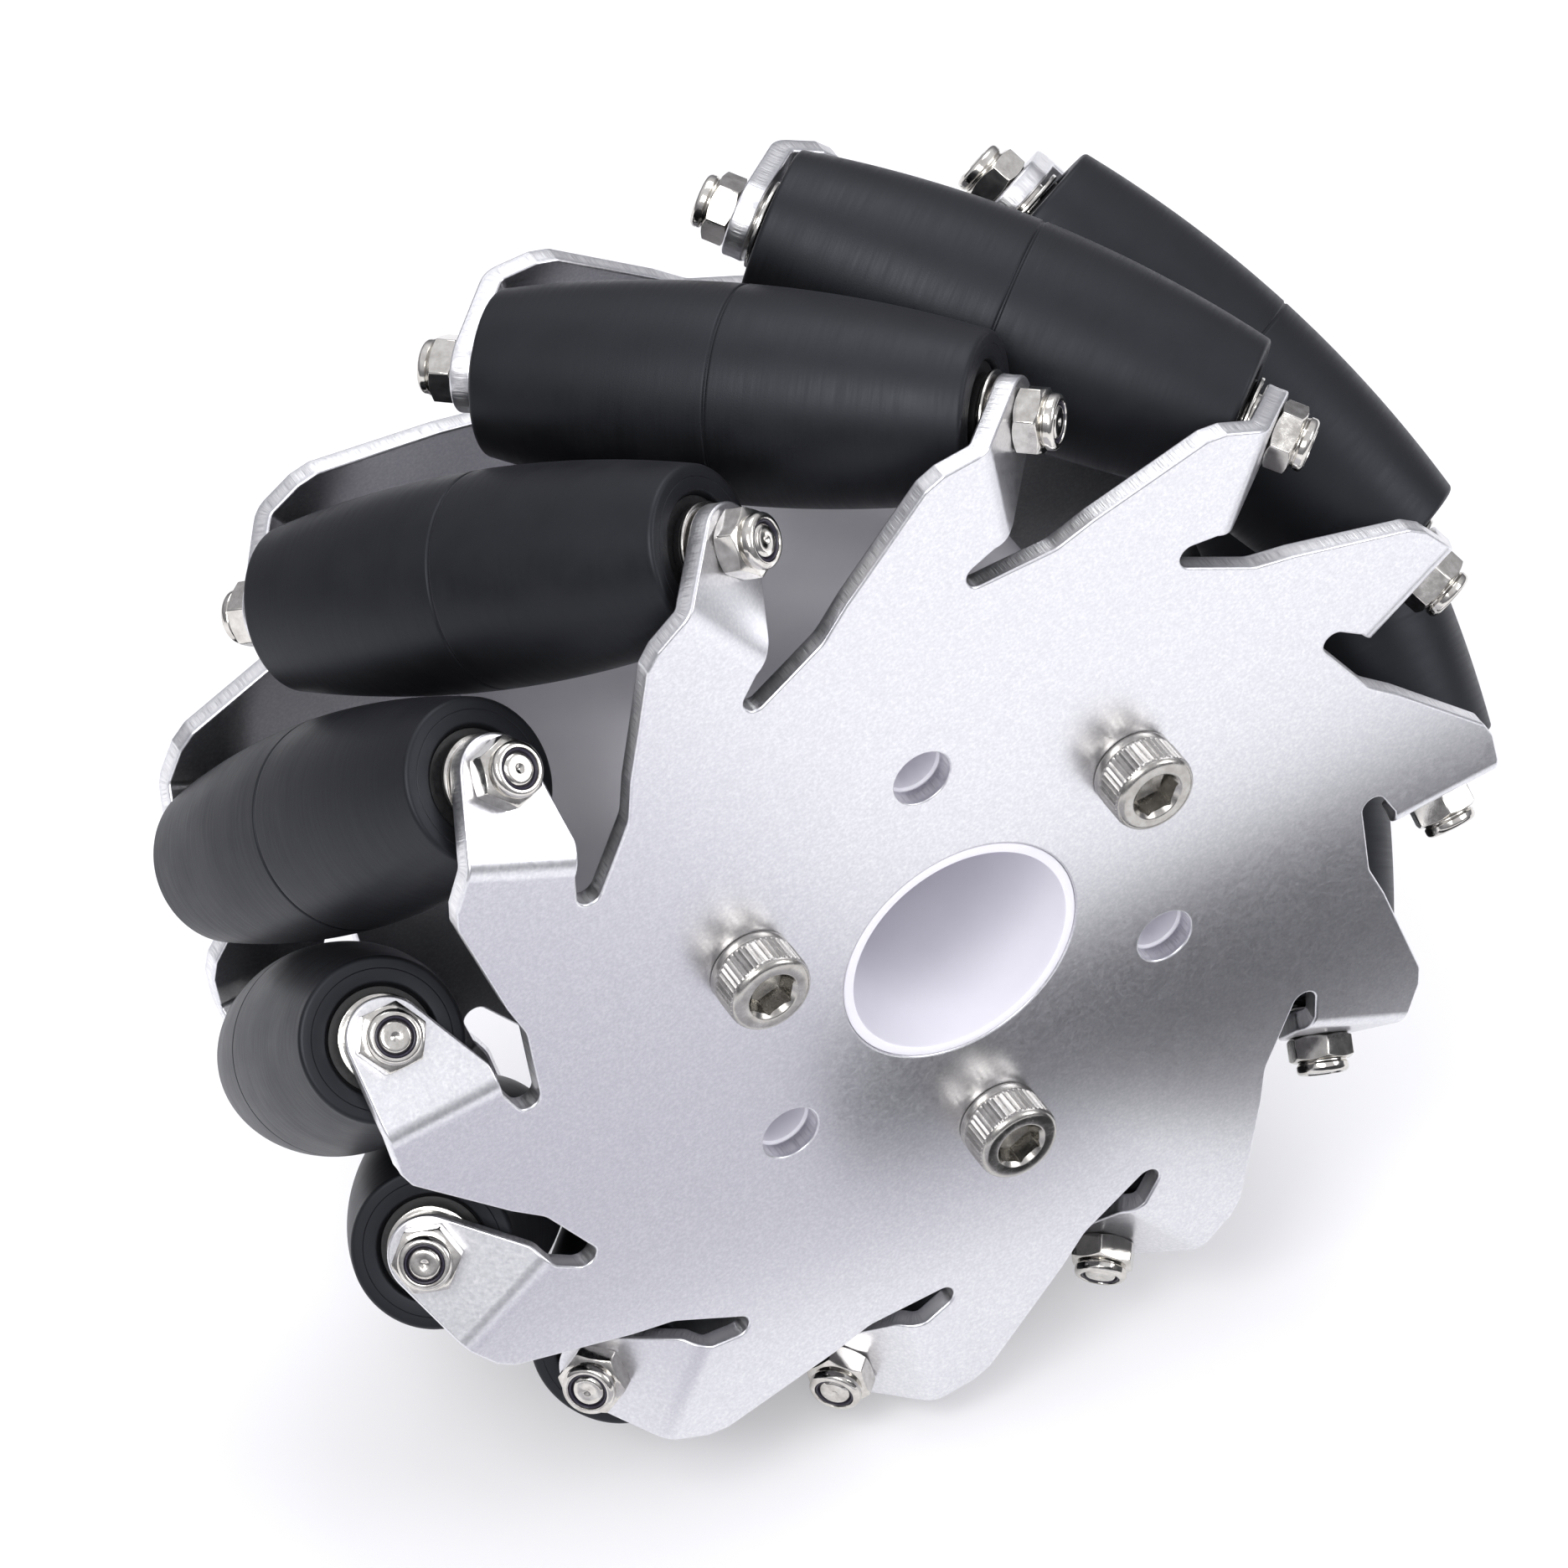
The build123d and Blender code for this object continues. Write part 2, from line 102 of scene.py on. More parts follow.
# --------------------------------------------------------------- mesh building
class Shell:
    """Closed surfaces in the making: points, faces and what the finishes read."""

    def __init__(self):
        self.v, self.f, self.flat = [], [], []
        self.wall, self.edge, self.bend, self.n, self.own = [], [], [], [], []

    def ring(self, pts, wall=0.0, edge=None, bend=0.0, normals=None):
        start = len(self.v)
        for k, p in enumerate(pts):
            self.v.append(tuple(p))
            self.own.append(tuple(p))
            self.wall.append(wall)
            self.edge.append(edge[k] if edge else 0.0)
            self.bend.append(bend[k] if isinstance(bend, list) else bend)
            self.n.append(tuple(normals[k]) if normals else (0.0, 0.0, 0.0))
        return list(range(start, start + len(pts)))

    def quad(self, *ids, flat=False):
        self.f.append(tuple(ids))
        self.flat.append(flat)

    def strip(self, a, b, closed=True, flat=False):
        n = len(a)
        for k in range(n if closed else n - 1):
            j = (k + 1) % n
            self.quad(a[k], a[j], b[j], b[k], flat=flat)

    def fan(self, ring, tip):
        n = len(ring)
        for k in range(n):
            self.quad(ring[k], ring[(k + 1) % n], tip)

    def fill(self, loops, flat2d, flat=True):
        """Triangles between an outer loop and its holes, each a list of ids."""
        ids = [i for loop in loops for i in loop]
        pts = [flat2d(i) for i in ids]
        edges, start = [], 0
        for loop in loops:
            n = len(loop)
            edges += [(start + k, start + (k + 1) % n) for k in range(n)]
            start += n
        out = delaunay_2d_cdt([Vector(p) for p in pts], edges, [], 0, 1e-7, True)
        verts, faces, origin = out[0], out[2], out[3]
        back = [o[0] for o in origin]
        tri = np.array([[verts[i][:] for i in f] for f in faces if len(f) == 3])
        who = [f for f in faces if len(f) == 3]
        mid = tri.mean(1)
        inside = np.zeros(len(mid), int)
        start = 0
        for loop in loops:
            poly = np.array(pts[start:start + len(loop)])
            start += len(loop)
            a, b = poly, np.roll(poly, -1, 0)
            x, y = mid[:, 0][:, None], mid[:, 1][:, None]
            hit = (a[:, 1][None] > y) != (b[:, 1][None] > y)
            dy = (b[:, 1] - a[:, 1])[None]
            dy = np.where(np.abs(dy) < 1e-12, 1e-12, dy)
            cross = x < (b[:, 0] - a[:, 0])[None] * (y - a[:, 1][None]) / dy + a[:, 0][None]
            inside += (hit & cross).sum(1)
        for k, f in enumerate(who):
            if inside[k] % 2:
                self.quad(*[ids[back[i]] for i in f], flat=flat)

    def add(self, other, matrix, offset=(0.0, 0.0, 0.0)):
        start = len(self.v)
        turn = matrix.to_3x3()
        for p, own, n in zip(other.v, other.own, other.n):
            self.v.append(tuple(matrix @ Vector(p)))
            self.own.append((own[0] + offset[0], own[1] + offset[1], own[2] + offset[2]))
            self.n.append(tuple(turn @ Vector(n)))
        self.wall += other.wall
        self.edge += other.edge
        self.bend += other.bend
        self.f += [tuple(i + start for i in f) for f in other.f]
        self.flat += other.flat
        return self


def piece(name, shell, material, body, nodes, exact=False, sharp=34.0):
    me = bpy.data.meshes.new(name)
    me.from_pydata([(x * 0.001, -z * 0.001, y * 0.001) for x, y, z in shell.v], [], shell.f)
    me.polygons.foreach_set("use_smooth", [not f for f in shell.flat])
    for key, kind, values in (
        ("own", "FLOAT_VECTOR", shell.own), ("wall", "FLOAT", shell.wall),
        ("edge", "FLOAT", shell.edge), ("bend", "FLOAT", shell.bend),
    ):
        att = me.attributes.new(key, kind, "POINT")
        flat = np.array(values, np.float32).ravel()
        att.data.foreach_set("vector" if kind == "FLOAT_VECTOR" else "value", flat)
    bm = bmesh.new()
    bm.from_mesh(me)
    bmesh.ops.recalc_face_normals(bm, faces=bm.faces)
    bm.to_mesh(me)
    bm.free()
    if exact:
        me.polygons.foreach_set("use_smooth", [True] * len(me.polygons))
        me.normals_split_custom_set_from_vertices([(x, -z, y) for x, y, z in shell.n])
    else:
        me.set_sharp_from_angle(angle=math.radians(sharp))
    ob = bpy.data.objects.new(name, me)
    bpy.context.scene.collection.objects.link(ob)
    if not exact:
        wn = ob.modifiers.new("weighted", "WEIGHTED_NORMAL")
        wn.keep_sharp, wn.mode, wn.weight = True, "FACE_AREA", 50
    me.materials.append(material)
    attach(ob, body)
    if nodes:
        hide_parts(*nodes)
    return ob


def circle(r, z, n, cx=0.0, cy=0.0):
    return [(cx + r * math.cos(2 * math.pi * k / n), cy + r * math.sin(2 * math.pi * k / n), z) for k in range(n)]


def lathe(sh, profile, n, closed=True, cap=True, perforated=(), holes=(), chamfer=0.2):
    """Turns (r, z) points round z. perforated names profile steps whose flat
    ring carries the holes (x, y, r); the holes' walls join the two flat rings."""
    rings = [sh.ring(circle(r, z, n)) if r > 1e-6 else sh.ring([(0, 0, z)]) for r, z in profile]
    ends = []
    m = len(profile)
    for k in range(m if closed else m - 1):
        a, b = rings[k], rings[(k + 1) % m]
        if k in perforated:
            z = profile[k][1]
            inner, outer = (a, b) if profile[k][0] < profile[(k + 1) % m][0] else (b, a)
            tops = [sh.ring(circle(r + chamfer, z, 48, x, y)) for x, y, r in holes]
            ends.append((z, tops))
            sh.fill([outer, inner] + tops, lambda i: (sh.v[i][0], sh.v[i][1]))
        elif len(a) == 1:
            sh.fan(b, a[0])
        elif len(b) == 1:
            sh.fan(a, b[0])
        else:
            sh.strip(a, b)
    if ends:
        (z0, t0), (z1, t1) = sorted(ends)
        for (x, y, r), lo, hi in zip(holes, t0, t1):
            lo2 = sh.ring(circle(r, z0 + chamfer, 48, x, y))
            hi2 = sh.ring(circle(r, z1 - chamfer, 48, x, y))
            sh.strip(lo, lo2)
            sh.strip(lo2, hi2)
            sh.strip(hi2, hi)
    return sh


def hex_samples(side=8, corner=4, af=7.0, rc=0.25):
    """Angles and radii round a hexagon with rounded corners."""
    half = af / 2
    dt = math.atan((half - rc) * math.tan(math.radians(30)) / half)
    dc = (half - rc) / math.cos(math.radians(30))
    out = []
    for k in range(6):
        mid = math.radians(60 * k)
        for j in range(side):
            d = -dt + 2 * dt * j / side
            out.append((mid + d, half / math.cos(d)))
        for j in range(corner):
            d = dt + (math.radians(60) - 2 * dt) * j / corner
            e = abs(math.radians(30) - d)
            inner = max(rc * rc - (dc * math.sin(e)) ** 2, 0.0)
            out.append((mid + d, dc * math.cos(e) + math.sqrt(inner)))
    return out


def stack(sh, rows, closed=True):
    """Rings given point by point, joined in order, and round to the first."""
    rings = [sh.ring(r) for r in rows]
    m = len(rings)
    for k in range(m if closed else m - 1):
        a, b = rings[k], rings[(k + 1) % m]
        if len(a) == 1:
            sh.fan(b, a[0])
        elif len(b) == 1:
            sh.fan(a, b[0])
        else:
            sh.strip(a, b)
    return rings


def nut(af, h, r, hex_h=None, insert=1.0):
    """A hexagon nut from its bearing face up; with hex_h, a lock nut whose
    rolled collar stands over the hexagon round the pocket of its ring."""
    sh = Shell()
    sam = hex_samples(af=af, rc=af * 0.035)
    top = hex_h or h
    r0, slope, c = af / 2 * 0.955, math.tan(math.radians(30)), af * 0.035

    def rnd(rad, z):
        return [(rad * math.cos(a), rad * math.sin(a), z) for a, _ in sam]

    def hexed(sign, z, inset=0.0):
        pts = []
        for a, rad in sam:
            drop = max(rad - r0, 0.0) * slope
            rr = rad - inset
            pts.append((rr * math.cos(a), rr * math.sin(a), z - sign * drop))
        return pts

    rows = [rnd(r, c * 1.3), rnd(r + c, 0.0), rnd(r0, 0.0)]
    rows += [hexed(-1, 0.0, 0.02), hexed(-1, 0.05), hexed(1, top - 0.05), hexed(1, top, 0.02), rnd(r0, top)]
    if hex_h:
        k = af / 7.0
        neck, col = 2.86 * k, 3.115 * k
        rise = h - hex_h
        rows += [rnd(neck + 0.16 * k, top + 0.01), rnd(neck, top + 0.10 * k), rnd(neck, top + 0.22 * k),
                 rnd(col - 0.10 * k, top + 0.34 * k), rnd(col, top + 0.48 * k)]
        for t in range(0, 7):
            a = math.radians(15 * t)
            rows.append(rnd(col - 0.62 * k * (1 - math.cos(a)), h - 0.62 * k + 0.62 * k * math.sin(a)))
        pocket = 1.14 * r
        rows += [rnd(pocket + 0.06 * k, h - 0.03 * k), rnd(pocket, h - 0.14 * k), rnd(pocket, h - insert),
                 rnd(r, h - insert - 0.05)]
    else:
        rows += [rnd(r + c, top), rnd(r, top - c * 1.3)]
    stack(sh, rows)
    return sh


def nut_ring(h, r, insert, k):
    """The nylon ring of a lock nut, with its rolled-over lip."""
    sh = Shell()
    outer, inner = 1.14 * r - 0.005, r + 0.005
    zt = h - 0.15
    prof = [(outer, h - insert + 0.02), (outer, zt - 0.12 * k), (outer - 0.05 * k, zt - 0.03 * k),
            ((outer + inner) / 2, zt), (inner + 0.04 * k, zt - 0.04 * k), (inner, zt - 0.14 * k),
            (inner, h - insert + 0.02)]
    return lathe(sh, prof, 60)


def threaded_tip(r, pitch, top, bottom, n, depth):
    """Point rows of a thread that fades into a chamfered tip."""
    rows, z = [], top
    while z > bottom + 1e-6:
        row = []
        for k in range(n):
            a = 2 * math.pi * k / n
            t = ((z - bottom) / pitch - k / n) % 1.0
            crest = abs(2 * t - 1)
            cut = depth * (1 - min(1.0, max(0.0, (crest - 0.12) / 0.76)))
            rr = min(r - cut, r - 0.75 + (z - bottom) * 1.0 + 0.12)
            if z > top - 0.3:
                rr = r - cut * (top - z) / 0.3
            row.append((rr * math.cos(a), rr * math.sin(a), z))
        rows.append(row)
        z -= pitch / 10
    return rows


def cap_screw():
    """M6 socket head screw: knurled head, hexagon socket, threaded end."""
    sh = Shell()
    teeth, per = 50, 6
    n = teeth * per
    ang = [2 * math.pi * k / n for k in range(n)]

    def rnd(rad, z):
        return [(rad * math.cos(a), rad * math.sin(a), z) for a in ang]

    def knurl(rad, z, depth):
        pts = []
        for k, a in enumerate(ang):
            t = (k % per) / per
            cut = depth * (1 - abs(2 * t - 1)) ** 0.8
            pts.append(((rad - cut) * math.cos(a), (rad - cut) * math.sin(a), z))
        return pts

    def socket(z, lead=0.0):
        pts = []
        for a in ang:
            d = (a + math.radians(30)) % math.radians(60) - math.radians(30)
            rad = min(2.5 / math.cos(d), 2.84)
            pts.append((rad * math.cos(a), rad * math.sin(a), z - lead * max(0.0, 3.0 - rad)))
        return pts

    h = 5.75
    rows = [rnd(3.0, 0.0), rnd(4.62, 0.0), rnd(4.86, 0.10), rnd(4.95, 0.30), rnd(4.97, 0.55), rnd(4.93, 0.95),
            rnd(4.86, 1.12), rnd(4.90, 1.22), knurl(4.97, 1.42, 0.10), knurl(5.0, 1.62, 0.17),
            knurl(5.0, 4.72, 0.17), knurl(4.97, 4.90, 0.10), rnd(4.86, 5.02), rnd(4.86, 5.10), rnd(4.84, 5.20),
            rnd(4.74, 5.38), rnd(4.56, 5.56), rnd(4.36, 5.68), rnd(4.12, h - 0.015), rnd(3.95, h),
            rnd(3.22, h), rnd(3.08, h - 0.04), rnd(3.0, h - 0.12), socket(h - 0.14, 1.1), socket(h - 0.55), socket(h - 3.1)]
    rows += [rnd(2.25, h - 3.2), [(0.0, 0.0, h - 3.95)]]
    rings = [sh.ring(r) for r in rows]
    for a, b in zip(rings[:-2], rings[1:-1]):
        sh.strip(a, b)
    sh.fan(rings[-2], rings[-1][0])
    tip = threaded_tip(3.0, 1.0, -76.0, -80.0, n, 0.5)
    low = [sh.ring(r) for r in [rnd(3.0, -40.0)] + tip + [rnd(2.2, -80.0), rnd(1.9, -80.0)]]
    sh.strip(rings[0], low[0])
    for a, b in zip(low, low[1:]):
        sh.strip(a, b)
    sh.fan(low[-1], sh.ring([(0, 0, -79.9)])[0])
    return sh


def set_screw():
    sh = Shell()
    sam = hex_samples(af=2.5, rc=0.08)
    lo, hi = SHAFT_R + 0.3, SHAFT_R + 8.3

    def rnd(rad, z):
        return [(rad * math.cos(a), rad * math.sin(a), z) for a, _ in sam]

    rows = [[(0, 0, lo + 0.5)], rnd(1.1, lo), rnd(1.6, lo), rnd(2.46, lo + 0.8), rnd(2.46, hi - 0.35),
            rnd(2.2, hi - 0.06), rnd(2.1, hi), rnd(1.62, hi), rnd(1.5, hi - 0.1)]
    rows += [[(r * math.cos(a), r * math.sin(a), hi - 0.25) for a, r in sam],
             [(r * math.cos(a), r * math.sin(a), hi - 2.6) for a, r in sam], [(0, 0, hi - 3.1)]]
    stack(sh, rows, closed=False)
    return sh


# ------------------------------------------------------------------- the plate
def rounded(prev, p, nxt, r, n=6):
    """Points of a corner's arc."""
    a = Vector(prev) - Vector(p)
    b = Vector(nxt) - Vector(p)
    a.normalize()
    b.normalize()
    ang = a.angle(b)
    t = r / math.tan(ang / 2)
    start, end = Vector(p) + a * t, Vector(p) + b * t
    bis = (a + b).normalized()
    c = Vector(p) + bis * (r / math.sin(ang / 2))
    a0 = math.atan2(start.y - c.y, start.x - c.x)
    a1 = math.atan2(end.y - c.y, end.x - c.x)
    d = (a1 - a0 + math.pi) % (2 * math.pi) - math.pi
    return [(c.x + r * math.cos(a0 + d * k / n), c.y + r * math.sin(a0 + d * k / n)) for k in range(n + 1)]


def tangent(p, c, r, side):
    dx, dy = c[0] - p[0], c[1] - p[1]
    d = math.hypot(dx, dy)
    a = math.atan2(dy, dx) + side * math.asin(r / d)
    t = math.sqrt(d * d - r * r)
    return p[0] + t * math.cos(a), p[1] + t * math.sin(a)


def arc(c, r, a0, a1, n):
    return [(c[0] + r * math.cos(a0 + (a1 - a0) * k / n), c[1] + r * math.sin(a0 + (a1 - a0) * k / n)) for k in range(n + 1)]


BENDS = 10


def petal_outline():
    """One petal, unfolded, counter-clockwise; also where its parts begin."""
    eye = (AXIS_R, BEND_Y - BEND_LEN - EAR_END_W)
    ys = BEND_Y - BEND_LEN - (EAR_END_W - 7.6)
    yo = BEND_Y - BEND_LEN - (EAR_END_W - 8.5)
    left, right = (EAR_X0, ys), (EAR_X1, yo)
    tl = min((tangent(left, eye, EAR_TIP_R, s) for s in (-1, 1)), key=lambda p: p[0])
    tr = max((tangent(right, eye, EAR_TIP_R, s) for s in (-1, 1)), key=lambda p: p[0])
    a0 = math.atan2(tl[1] - eye[1], tl[0] - eye[0])
    a1 = math.atan2(tr[1] - eye[1], tr[0] - eye[0])
    while a0 > a1:
        a0 -= 2 * math.pi
    pts = [(EAR_X0, BEND_Y - BEND_LEN * k / BENDS) for k in range(BENDS + 1)]
    pts += rounded((EAR_X0, BEND_Y), left, tl, 2.5, 5)
    pts += arc(eye, EAR_TIP_R, a0, a1, 30)
    pts += rounded(tr, right, (EAR_X1, BEND_Y), 0.6, 3)
    ear_end = len(pts)
    pts += [(EAR_X1, BEND_Y - BEND_LEN * k / BENDS) for k in range(BENDS, -1, -1)]
    right_top = len(pts) - 1
    nxt = spun((EAR_X0, BEND_Y), STEP)
    t_lead = tangent(PETAL[-1], SLOT_C, SLOT_R, 1)
    t_next = tangent(nxt, SLOT_C, SLOT_R, -1)
    chain = [(EAR_X1, BEND_Y)] + PETAL + [t_lead]
    for k, r in enumerate(PETAL_FILLET):
        pts += rounded(chain[k], chain[k + 1], chain[k + 2], r, 8 if r > 1 else 3)
    b0 = math.atan2(t_lead[1] - SLOT_C[1], t_lead[0] - SLOT_C[0])
    b1 = math.atan2(t_next[1] - SLOT_C[1], t_next[0] - SLOT_C[0])
    away = math.atan2((nxt[1] + PETAL[-1][1]) / 2 - SLOT_C[1], (nxt[0] + PETAL[-1][0]) / 2 - SLOT_C[0]) + math.pi
    while b0 > away:
        b0 -= 2 * math.pi
    while b0 < away - 2 * math.pi:
        b0 += 2 * math.pi
    while b1 > away:
        b1 -= 2 * math.pi
    while b1 < away - 2 * math.pi:
        b1 += 2 * math.pi
    # the arc runs through the side away from the slot's mouth
    if abs(b1 - b0) < math.pi * 0.9:
        b1 += 2 * math.pi if b1 < b0 else -2 * math.pi
    mid = (b0 + b1) / 2
    if math.cos(mid - away) < 0:
        b1 += 2 * math.pi if b1 < b0 else -2 * math.pi
    pts += arc(SLOT_C, SLOT_R, b0, b1, 16)
    return pts, ear_end, right_top, eye, nxt


def folded(i, x, y, h):
    """Place and surface directions of an unfolded point h under the face."""
    t = BEND_Y - y
    phi = 0.0 if t <= 0 else min(t / BEND_OUT, math.pi / 4)
    if t <= 0:
        py, pz = y, PLATE_OUT - h
    else:
        over = max(0.0, t - BEND_LEN)
        r = BEND_OUT - h
        py = HINGE[0] - r * math.sin(phi) - over * math.cos(phi)
        pz = HINGE[1] + r * math.cos(phi) - over * math.sin(phi)
    deg = PHASE + STEP * i
    px, py2 = spun((x, py), deg)
    ny, nz = -math.sin(phi), math.cos(phi)
    nx2, ny2 = spun((0.0, ny), deg)
    ex = spun((1.0, 0.0), deg)
    ey = spun((0.0, math.cos(phi)), deg)
    return (px, py2, pz), Vector((nx2, ny2, nz)), Vector((ex[0], ex[1], 0)), Vector((ey[0], ey[1], math.sin(phi)))


def edge_rows(b, extra=True):
    """(inset, depth, tilt, wall) of the rings that round an edge's both lips."""
    rows = []
    for deg in (0, 22, 45, 67, 90):
        a = math.radians(deg)
        rows.append((b * (1 - math.sin(a)), b * (1 - math.cos(a)), deg, 0.0 if deg < 60 else 0.25))
    if extra:
        rows += [(0.02, 0.75, 90, 0.8), (0.05, 1.15, 90, 1.0), (0.03, 1.6, 90, 0.9)]
    for deg in (90, 67, 45, 22, 0):
        a = math.radians(deg)
        rows.append((b * (1 - math.sin(a)), PLATE_T - b * (1 - math.cos(a)), 180 - deg, 0.0 if deg < 60 else 0.25))
    return rows


def plate():
    sh = Shell()
    pts, ear_end, right_top, eye, nxt = petal_outline()
    n = len(pts)
    # inward directions, from the neighbours in the same petal's frame
    prev = spun(pts[-1], -STEP)
    around = [prev] + pts + [nxt]
    inward, run, s = [], [], 0.0
    for k in range(1, n + 1):
        a = Vector(around[k]) - Vector(around[k - 1])
        b = Vector(around[k + 1]) - Vector(around[k])
        s += a.length if k > 1 else 0.0
        run.append(s)
        if a.length < 1e-6:
            a = b
        if b.length < 1e-6:
            b = a
        a.normalize()
        b.normalize()
        na, nb = Vector((-a.y, a.x)), Vector((-b.y, b.x))
        m = na + nb
        m = m / max(m.dot(na), 0.35)
        inward.append(m)
    total = run[-1]
    rows = edge_rows(0.32)
    rings = []
    for inset, depth, tilt, wall in rows:
        place, normal, edge, bend = [], [], [], []
        for i in range(ROLLERS):
            for k in range(n):
                x, y = pts[k][0] + inward[k].x * inset, pts[k][1] + inward[k].y * inset
                p, up, ex, ey = folded(i, x, y, depth)
                out = -(ex * inward[k].x + ey * inward[k].y).normalized()
                t = math.radians(tilt)
                place.append(p)
                normal.append((up * math.cos(t) + out * math.sin(t)).normalized())
                edge.append(run[k] + total * i)
                d = BEND_Y - y
                bend.append(1.0 if -0.01 < d < BEND_LEN + 0.01 else 0.0)
        rings.append(sh.ring(place, wall, edge, bend, normal))
    for a, b in zip(rings, rings[1:]):
        sh.strip(a, b)
    sides = (("top", rings[0], 0), ("bottom", rings[-1], 1))

    def hole(x, y, r, seg, b, i=None):
        """Rings of a round hole; i names the petal when it is in an ear."""
        out = []
        for inset, depth, tilt, wall in edge_rows(b, r > 3):
            place, normal, edge = [], [], []
            for k in range(seg):
                a = 2 * math.pi * k / seg
                c, s2 = math.cos(a), math.sin(a)
                px, py = x + (r + inset) * c, y + (r + inset) * s2
                t = math.radians(tilt)
                if i is None:
                    place.append((px, py, PLATE_OUT - depth))
                    normal.append(Vector((-c * math.sin(t), -s2 * math.sin(t), math.cos(t))))
                else:
                    p, up, ex, ey = folded(i, px, py, depth)
                    place.append(p)
                    normal.append(up * math.cos(t) - (ex * c + ey * s2) * math.sin(t))
                edge.append(r * a + x * 3)
            out.append(sh.ring(place, wall, edge, 0.0, normal))
        for a, b2 in zip(out, out[1:]):
            sh.strip(a, b2)
        return out[0], out[-1]

    holes = [hole(0, 0, HUB_HOLE_R, 168, 0.25)]
    for k in range(6):
        x, y = polar(SCREW_PCR, SCREW_ANGLE + 60 * k)
        holes.append(hole(x, y, PLATE_HOLE_R, 60, 0.22))
    eyes = [hole(eye[0], eye[1], 2.05, 28, 0.12, i) for i in range(ROLLERS)]
    for _, ring, which in sides:
        loop = []
        for i in range(ROLLERS):
            o = i * n
            loop += [ring[o]] + [ring[o + k] for k in range(right_top, n)]
            # the bend, level by level
            for k in range(BENDS):
                l0, l1 = ring[o + k], ring[o + k + 1]
                r0, r1 = ring[o + right_top - k], ring[o + right_top - k - 1]
                sh.quad(l0, l1, r1, r0)
            # the ear
            ear = [ring[o + k] for k in range(BENDS, ear_end + 1)]
            flat = {}
            for k in range(BENDS, ear_end + 1):
                flat[ring[o + k]] = (pts[k][0] + inward[k].x * rows[0][0], pts[k][1] + inward[k].y * rows[0][0])
            for k, v in enumerate(eyes[i][which]):
                a = 2 * math.pi * k / 28
                flat[v] = (eye[0] + 2.17 * math.cos(a), eye[1] + 2.17 * math.sin(a))
            sh.fill([ear, eyes[i][which]], lambda v: flat[v])
        sh.fill([loop] + [h[which] for h in holes], lambda v: (sh.v[v][0], sh.v[v][1]))
    return sh


def envelope(s):
    lo, hi = 1.0, 20.0
    for _ in range(40):
        m = (lo + hi) / 2
        top = 0.0
        for k in range(-60, 61):
            a = k * 0.012
            x = AXIS_R + m * math.cos(a)
            y = G * (m * math.sin(a) - s)
            top = max(top, x * x + y * y)
        lo, hi = (lo, m) if top > WHEEL_R * WHEEL_R else (m, hi)
    return lo


def tyre():
    sh = Shell()
    half = []
    ss = [0.0, 0.09, 0.16, 0.22, 0.30, 0.45, 0.8, 1.5, 2.5] + [3.5 + 1.15 * k for k in range(21)]
    ss = [s for s in ss if s < ROLLER_HALF - 0.62]
    for s in ss:
        r = envelope(s)
        dip = 0.16 if s < 0.12 else (0.09 if s < 0.18 else (0.03 if s < 0.25 else 0.0))
        half.append((r - dip, s))
    r_end = envelope(ROLLER_HALF - 0.6)
    for k in range(0, 6):
        a = math.radians(18 * k)
        half.append((r_end - 0.6 + 0.6 * math.cos(a), ROLLER_HALF - 0.6 + 0.6 * math.sin(a)))
    half += [(7.9, ROLLER_HALF), (7.84, ROLLER_HALF - 0.05), (7.78, ROLLER_HALF), (6.55, ROLLER_HALF),
             (6.38, ROLLER_HALF - 0.04), (6.22, ROLLER_HALF - 0.16), (6.1, ROLLER_HALF - 0.4), (6.0, ROLLER_HALF - 0.72)]
    prof = [(r, -s) for r, s in reversed(half[1:])] + half
    return lathe(sh, prof, 128)


def roller_core():
    sh = Shell()
    e = 27.3
    return lathe(sh, [(5.98, -e + 0.15), (5.98, e - 0.15), (5.85, e), (3.7, e), (3.5, e - 0.2), (3.5, e - 8),
                      (2.7, e - 8), (2.7, -e + 8), (3.5, -e + 8), (3.5, -e + 0.2), (3.7, -e), (5.85, -e)], 72)


def bushes():
    sh = Shell()
    for s in (1, -1):
        lathe(sh, [(3.5, 19.3 * s), (3.5, 27.25 * s), (4.5, 27.3 * s), (4.6, 27.4 * s), (4.6, 28.08 * s),
                   (4.5, 28.2 * s), (2.2, 28.2 * s), (2.05, 28.05 * s), (2.05, 19.45 * s), (2.2, 19.3 * s)], 72)
    return sh


def stud():
    sh = Shell()
    half = [(2.0, 30.0), (2.0, STUD_HALF - 0.42), (1.93, STUD_HALF - 0.32), (1.66, STUD_HALF - 0.06), (1.56, STUD_HALF),
            (1.2, STUD_HALF), (0.62, STUD_HALF), (0.5, STUD_HALF - 0.03), (0.2, STUD_HALF - 0.22), (0.0, STUD_HALF - 0.26)]
    prof = [(r, -z) for r, z in reversed(half)] + half
    return lathe(sh, prof, 56, closed=False)


def washer():
    sh = Shell()
    ear_in = EAR_OUT - PLATE_T
    top, mid, low = ear_in, ear_in - 0.4, ear_in - 0.95
    return lathe(sh, [(2.1, top - 0.06), (2.16, top), (3.22, top), (3.3, top - 0.08), (3.3, mid), (4.92, mid),
                      (5.05, mid - 0.05), (5.1, mid - 0.16), (5.1, low + 0.14), (5.04, low + 0.04), (4.92, low),
                      (2.16, low), (2.1, low + 0.06)], 96)


# ------------------------------------------------------------ hub and coupling
def six(r_even, r_odd):
    return [(*polar(SCREW_PCR, SCREW_ANGLE + 60 * k), r_odd if k % 2 else r_even) for k in range(6)]


